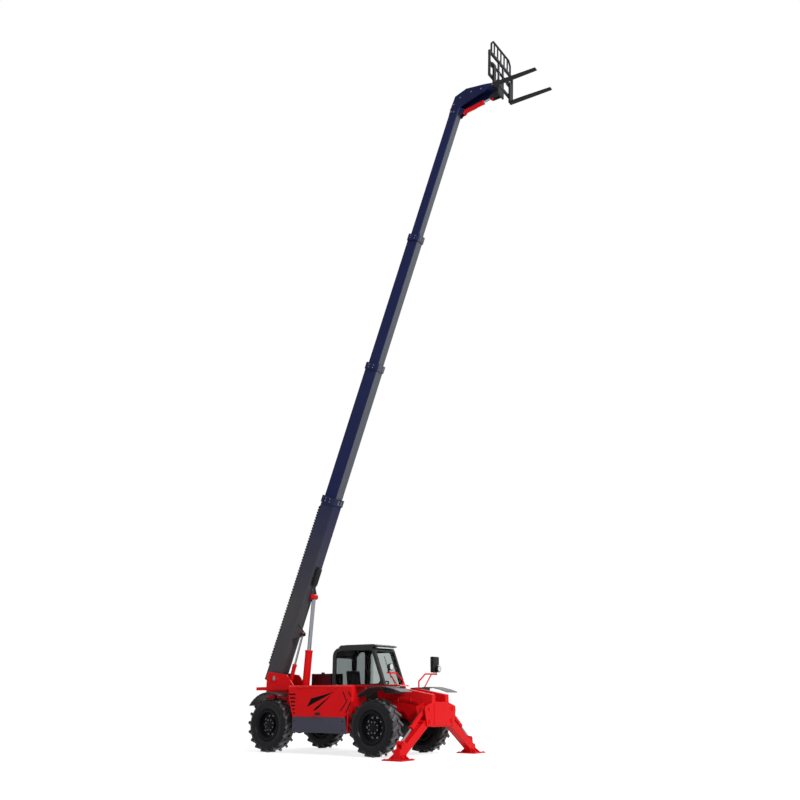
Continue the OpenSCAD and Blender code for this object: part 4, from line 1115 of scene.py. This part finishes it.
@dataclass
class CabFittings:
    """Roof ribs, visor strip, wiper, handles and the inside of the cab."""

    roof_z: float = 2.390
    side_y: float = 1.130
    floor_z: float = 0.840
    rail_x: float = -0.45
    rail_z: Pair = (0.93, 1.36)
    wiper_y: float = 0.640
    lever_y: float = 0.386
    boot: Pairs = ((0.0, 0.0), (0.042, 0.0), (0.030, 0.030), (0.014, 0.060), (0.0, 0.062))
    knob: Pairs = ((0.0, 0.0), (0.016, 0.004), (0.022, 0.040), (0.024, 0.080), (0.016, 0.098), (0.0, 0.102))

    def build(self) -> None:
        """Builds the outside fittings, then the inside ones."""
        visor, ribs = Form(), Form()
        visor.block(at(0.482, 0.370, 2.303), at(0.550, 1.050, 2.3305), 0.005)
        visor.ride("visor_strip", Finishes.LENS)
        for i in range(5):
            y = 0.345 + i * 0.155
            ribs.block(at(-0.44, y, self.roof_z - 0.003), at(0.42, y + 0.085, self.roof_z + 0.010), 0.008)
        ribs.ride("roof_ribs", Finishes.BLACK)
        self._wiper()
        self._handles()
        self._inside()

    def _wiper(self) -> None:
        """Builds the front wiper."""
        wiper = Form()
        foot = at(0.852, 0.700, 1.398)
        wiper.rod(foot - AHEAD * 0.012, foot + AHEAD * 0.016, 0.017, 20, 0.003)
        wiper.pipe([foot + AHEAD * 0.008, at(0.656, self.wiper_y, 1.865)], 0.006)
        wiper.rod(at(0.752, self.wiper_y, 1.620), at(0.548, self.wiper_y, 2.120), 0.007, 8)
        wiper.ride("wiper", Finishes.TRIM)

    def _handles(self) -> None:
        """Builds the door handle and the grab rail beside the door."""
        handle, rail = Form(), Form()
        out = self.side_y
        handle.block(at(0.38, out - 0.001, 0.905), at(0.56, out + 0.008, 0.975), 0.004)
        bow = ((0.40, 0.004), (0.40, 0.036), (0.54, 0.036), (0.54, 0.004))
        handle.pipe([at(x, out + y, 0.940) for x, y in bow], 0.009)
        handle.ride("door_handle", Finishes.TRIM, "door")
        x, (low, high) = self.rail_x, self.rail_z
        bow = ((out - 0.002, low), (out + 0.055, low), (out + 0.055, high), (out - 0.002, high))
        rail.pipe([at(x, y, z) for y, z in bow], 0.013)
        for z in self.rail_z:
            rail.rod(at(x, out - 0.001, z), at(x, out + 0.006, z), 0.030, 24, 0.002)
        rail.ride("grab_rail", Finishes.BLACK)

    def _inside(self) -> None:
        """Builds the console, the lever, the pedals and the gauge panel."""
        console, panel = Form(), Form()
        console.block(at(-0.32, 0.332, self.floor_z + 0.002), at(0.12, 0.440, 1.130), 0.020, 3)
        console.block(at(-0.36, 0.330, 1.130), at(-0.02, 0.442, 1.180), 0.018, 3)
        console.turned(at(0.06, self.lever_y, 1.130), UP, self.boot, False)
        console.rod(at(0.06, self.lever_y, 1.180), at(0.072, self.lever_y, 1.270), 0.009, 12)
        console.turned(at(0.072, self.lever_y, 1.262), UP, self.knob, False, 20)
        for y in (0.570, 0.800):
            pad = ((0.454, -1, 0.880), (0.454, 1, 0.880), (0.472, 1, 0.990), (0.472, -1, 0.990))
            console.plate([at(x, y + k * 0.035, z) for x, k, z in pad], Vector((0.010, 0.0, -0.005)))
            console.rod(at(0.468, y, 0.930), at(0.530, y, 0.905), 0.009, 10)
        console.block(at(0.560, 0.600, 1.325), at(0.625, 0.800, 1.430), 0.012, 3)
        console.ride("cab_console", Finishes.TRIM)
        panel.block(at(0.556, 0.618, 1.340), at(0.562, 0.782, 1.418), 0.002, 1)
        panel.ride("gauge_panel", Finishes.DARK)


@dataclass
class Seat:
    """Driver's seat with two padded cushions, piping and a pedestal."""

    middle_y: float = 0.701
    half_w: float = 0.225
    lean: float = -98.0
    channel: float = 0.11
    seam: float = 0.007
    inset: float = 0.022

    def build(self) -> None:
        """Builds the cushions and the pedestal in the place of the plain seat."""
        mid = self.middle_y
        base = self._cushion("seat_cushion", Vector((0.51, 0.50, 0.108)), 0.012)
        base.data.transform(Matrix.Translation(at(-0.175, mid, 1.184)))
        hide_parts("seat")
        back = self._cushion("seat_backrest", Vector((0.57, 2.0 * self.half_w, 0.110)), 0.014)
        lean = Matrix.Rotation(math.radians(self.lean), 4, "Y")
        back.data.transform(Matrix.Translation(at(-0.405, mid, 1.520)) @ lean)
        foot = Form()
        foot.block(at(-0.40, mid - 0.22, 0.842), at(0.05, mid + 0.22, 0.900), 0.020)
        foot.block(at(-0.36, mid - 0.18, 0.895), at(0.02, mid + 0.18, 1.095), 0.030, 3)
        for i in range(4):
            z = 0.925 + i * 0.040
            foot.block(at(-0.368, mid - 0.188, z), at(0.028, mid + 0.188, z + 0.018), 0.008)
        foot.block(at(-0.41, mid - 0.23, 1.090), at(0.06, mid + 0.23, 1.131), 0.012)
        foot.ride("seat_pedestal", Finishes.TRIM)

    def _cushion(self, name: str, size: Vector, crown: float) -> bpy.types.Object:
        """Makes a crowned cushion with sewn channels and piping, lying flat round the origin.

        Args:
            name: piece name
            size: length, width and thickness
            crown: height of the crown

        Returns:
            The cushion.
        """
        half = size / 2
        pad = Form()
        pad.block(-half, half, size.z * 0.30, 3)
        long = [e for e in pad.bm.edges if e.calc_length() > 0.12]
        bmesh.ops.subdivide_edges(pad.bm, edges=long, cuts=15, use_grid_fill=True)
        for vert in pad.bm.verts:
            spot = vert.co
            swell_x, swell_y = (max(0.0, 1.0 - (spot[i] / half[i]) ** 2) for i in (0, 1))
            swell = swell_x * swell_y
            seam = self.seam * (1.0 - abs(math.sin(spot.y * math.pi / self.channel))) ** 4
            spot.y *= 1.0 - 0.02 * swell_x
            if spot.z > 0.0:
                spot.z += crown * swell - seam * min(1.0, 4.0 * swell)
        edge = Vector((half.x - self.inset, half.y * 0.985 - self.inset, half.z - 0.010))
        pad.pipe([Vector((sx * edge.x, sy * edge.y, edge.z)) for sx, sy in (*CORNERS, CORNERS[0])], 0.005, 8)
        obj = pad.ride(name, Finishes.CLOTH, smooth=60.0)
        return obj


@dataclass(frozen=True)
class PhotoCamera:
    """Camera that was fitted to the photograph."""

    place: Triple = (12.954, -16.623, 1.26)
    yaw: float = 124.69
    pitch: float = 19.15
    focal_px: float = 847.6
    photo_px: float = 800.0
    sensor: float = 36.0

    def build(self) -> None:
        """Adds the camera and makes it the scene's."""
        data = bpy.data.cameras.new("photo_camera")
        data.sensor_width = self.sensor
        data.lens = self.focal_px / self.photo_px * self.sensor
        data.clip_end = 200.0
        cam = placed("photo_camera", data)
        cam.location = at(*self.place)
        yaw, pitch = math.radians(self.yaw), math.radians(self.pitch)
        look = Vector((math.cos(yaw) * math.cos(pitch), math.sin(yaw) * math.cos(pitch), math.sin(pitch)))
        cam.rotation_euler = look.to_track_quat("-Z", "Y").to_euler()
        bpy.context.scene.camera = cam


@dataclass
class Studio:
    """Pale floor, soft lamps and an even world."""

    reach: float = 90.0
    floor_near: float = 9.0
    floor_far: float = 28.0
    floor_glow: Pair = (1.56, 1.0)
    floor_share: Pair = (0.5, 1.0)
    key_power: float = 8600.0
    fill_power: float = 500.0
    rim_power: float = 3000.0
    world_light: float = 0.33
    sky: tuple[float, float, float, float] = (0.93, 0.96, 1.0, 1.0)

    def build(self) -> None:
        """Builds the floor, the lamps and the world."""
        sheet = Form()
        bmesh.ops.create_grid(sheet.bm, x_segments=2, y_segments=2, size=self.reach)
        mesh = sheet.mesh("floor")
        mesh.materials.append(self._floor_paint())
        floor = placed("floor", mesh)
        self._lamp("key", at(27.0, -9.0, 19.0), 8.0, self.key_power)
        self._lamp("fill", at(-8.0, -20.0, 12.0), 14.0, self.fill_power)
        self._lamp("rim", at(-4.0, 20.0, 22.0), 14.0, self.rim_power)
        self._world()

    @staticmethod
    def _seen(graph: Graph) -> Socket:
        """Tells rays that show the background from rays that only light.

        Args:
            graph: graph to add to

        Returns:
            A socket that is 1 for camera, glossy and transmission rays.
        """
        path = graph.add("LightPath").outputs
        share = path["Is Camera Ray"]
        for other in ("Is Glossy Ray", "Is Transmission Ray"):
            share = graph.math("MAXIMUM", share, path[other])
        return share

    def _spread(self, graph: Graph, near: float, far: float) -> Socket:
        """Gives a value that changes from near the machine to far away."""
        away = graph.vector("LENGTH", graph.add("TexCoord").outputs["Object"])
        return graph.span(away, self.floor_near, self.floor_far, near, far)

    def _floor_paint(self) -> bpy.types.Material:
        """Makes a floor that looks white and keeps a soft shadow.

        Returns:
            The floor's material.
        """
        mat = Finishes.FLOOR.material()
        graph, nodes = Graph(mat.node_tree), mat.node_tree.nodes
        glow = graph.add("Emission", {"Color": WHITE, "Strength": self._spread(graph, *self.floor_glow)})
        share = graph.math("MULTIPLY", self._spread(graph, *self.floor_share), self._seen(graph))
        ports = {"Fac": share, 1: nodes["Principled BSDF"].outputs["BSDF"], 2: glow.outputs["Emission"]}
        mix = graph.add("MixShader", ports)
        graph.feed(nodes["Material Output"].inputs["Surface"], mix.outputs["Shader"])
        return mat

    @staticmethod
    def _lamp(name: str, place: Vector, size: float, power: float) -> None:
        """Adds a soft area lamp that looks at the machine.

        Args:
            name: lamp name
            place: where it hangs
            size: side of its square
            power: watts
        """
        data = bpy.data.lights.new(name, "AREA")
        data.size = size
        data.energy = power
        lamp = placed(name, data)
        lamp.location = place
        lamp.rotation_euler = (at(1.0, 0.0, 5.0) - place).to_track_quat("-Z", "Y").to_euler()

    def _world(self) -> None:
        """Makes a white background that lights the machine at a plain level."""
        world = bpy.data.worlds.new("studio_world")
        world.use_nodes = True
        world.node_tree.nodes.clear()
        graph = Graph(world.node_tree)
        seen = graph.add("Background", {"Color": WHITE}).outputs["Background"]
        lit = {"Color": self.sky, "Strength": self.world_light}
        light = graph.add("Background", lit).outputs["Background"]
        mix = graph.add("MixShader", {"Fac": self._seen(graph), 1: light, 2: seen})
        graph.add("OutputWorld", {"Surface": mix.outputs["Shader"]})
        bpy.context.scene.world = world


@dataclass
class Dresser:
    """Gives every CAD node its finish: by its own name, else by the start of its name, else red."""

    named: tuple[tuple[Finishes, str], ...] = (
        (Finishes.CAST, "counterweight axles engine"), (Finishes.SKIRT, "side_tanks"),
        (Finishes.MAROON, "oil_box"), (Finishes.FENDER, "front_fenders"), (Finishes.BASE, "boom_base"),
        (Finishes.BLACK, "cab_sides cab_ends cab_roof cab_door"), (Finishes.CLEAR, "cab_glass"),
        (Finishes.TINT, "door_glass"), (Finishes.CLOTH, "seat"), (Finishes.DARK, "cover_inlets"),
        (Finishes.TRIM, "cab_floor controls lamps mirror"), (Finishes.FORK, "carriage forks"),
    )
    starts: tuple[tuple[Finishes, str], ...] = (
        (Finishes.TYRE, "tyre_"), (Finishes.RIM, "rim_"), (Finishes.FENDER, "knuckle_rear"),
        (Finishes.CAST, "knuckle_"), (Finishes.NAVY, "boom_"),
        (Finishes.CHROME, "tilt_rod lift_rod level_rod leg_rod"),
    )

    def finish_of(self, node: str) -> Finishes:
        """Picks a node's finish.

        Args:
            node: CAD node name

        Returns:
            Its finish.
        """
        for finish, names in self.named:
            if node in names.split():
                return finish
        for finish, starts in self.starts:
            if node.startswith(tuple(starts.split())):
                return finish
        return Finishes.RED

    def build(self, nodes: dict[str, bpy.types.Object]) -> None:
        """Sets the material of every node.

        Args:
            nodes: CAD node name to object
        """
        for name, obj in nodes.items():
            material = self.finish_of(name).material()
            for spot in obj.material_slots:
                spot.material = material
            if not obj.material_slots:
                obj.data.materials.append(material)


def main() -> None:
    """Loads the frame and builds each sub-assembly."""
    logging.basicConfig(level=logging.INFO, format="%(name)s: %(message)s")
    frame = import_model()
    bpy.context.scene.view_settings.view_transform = "Standard"
    PhotoCamera().build()
    Dresser().build(frame["nodes"])
    for kind in (
        WheelFittings, AxleFittings, BoomFittings, RamFittings, CarriageFittings, StabiliserFittings,
        PodFittings, FenderLips, LampFittings, CabFittings, Seat, Studio,
    ):
        kind().build()


if __name__ == "__main__":
    main()
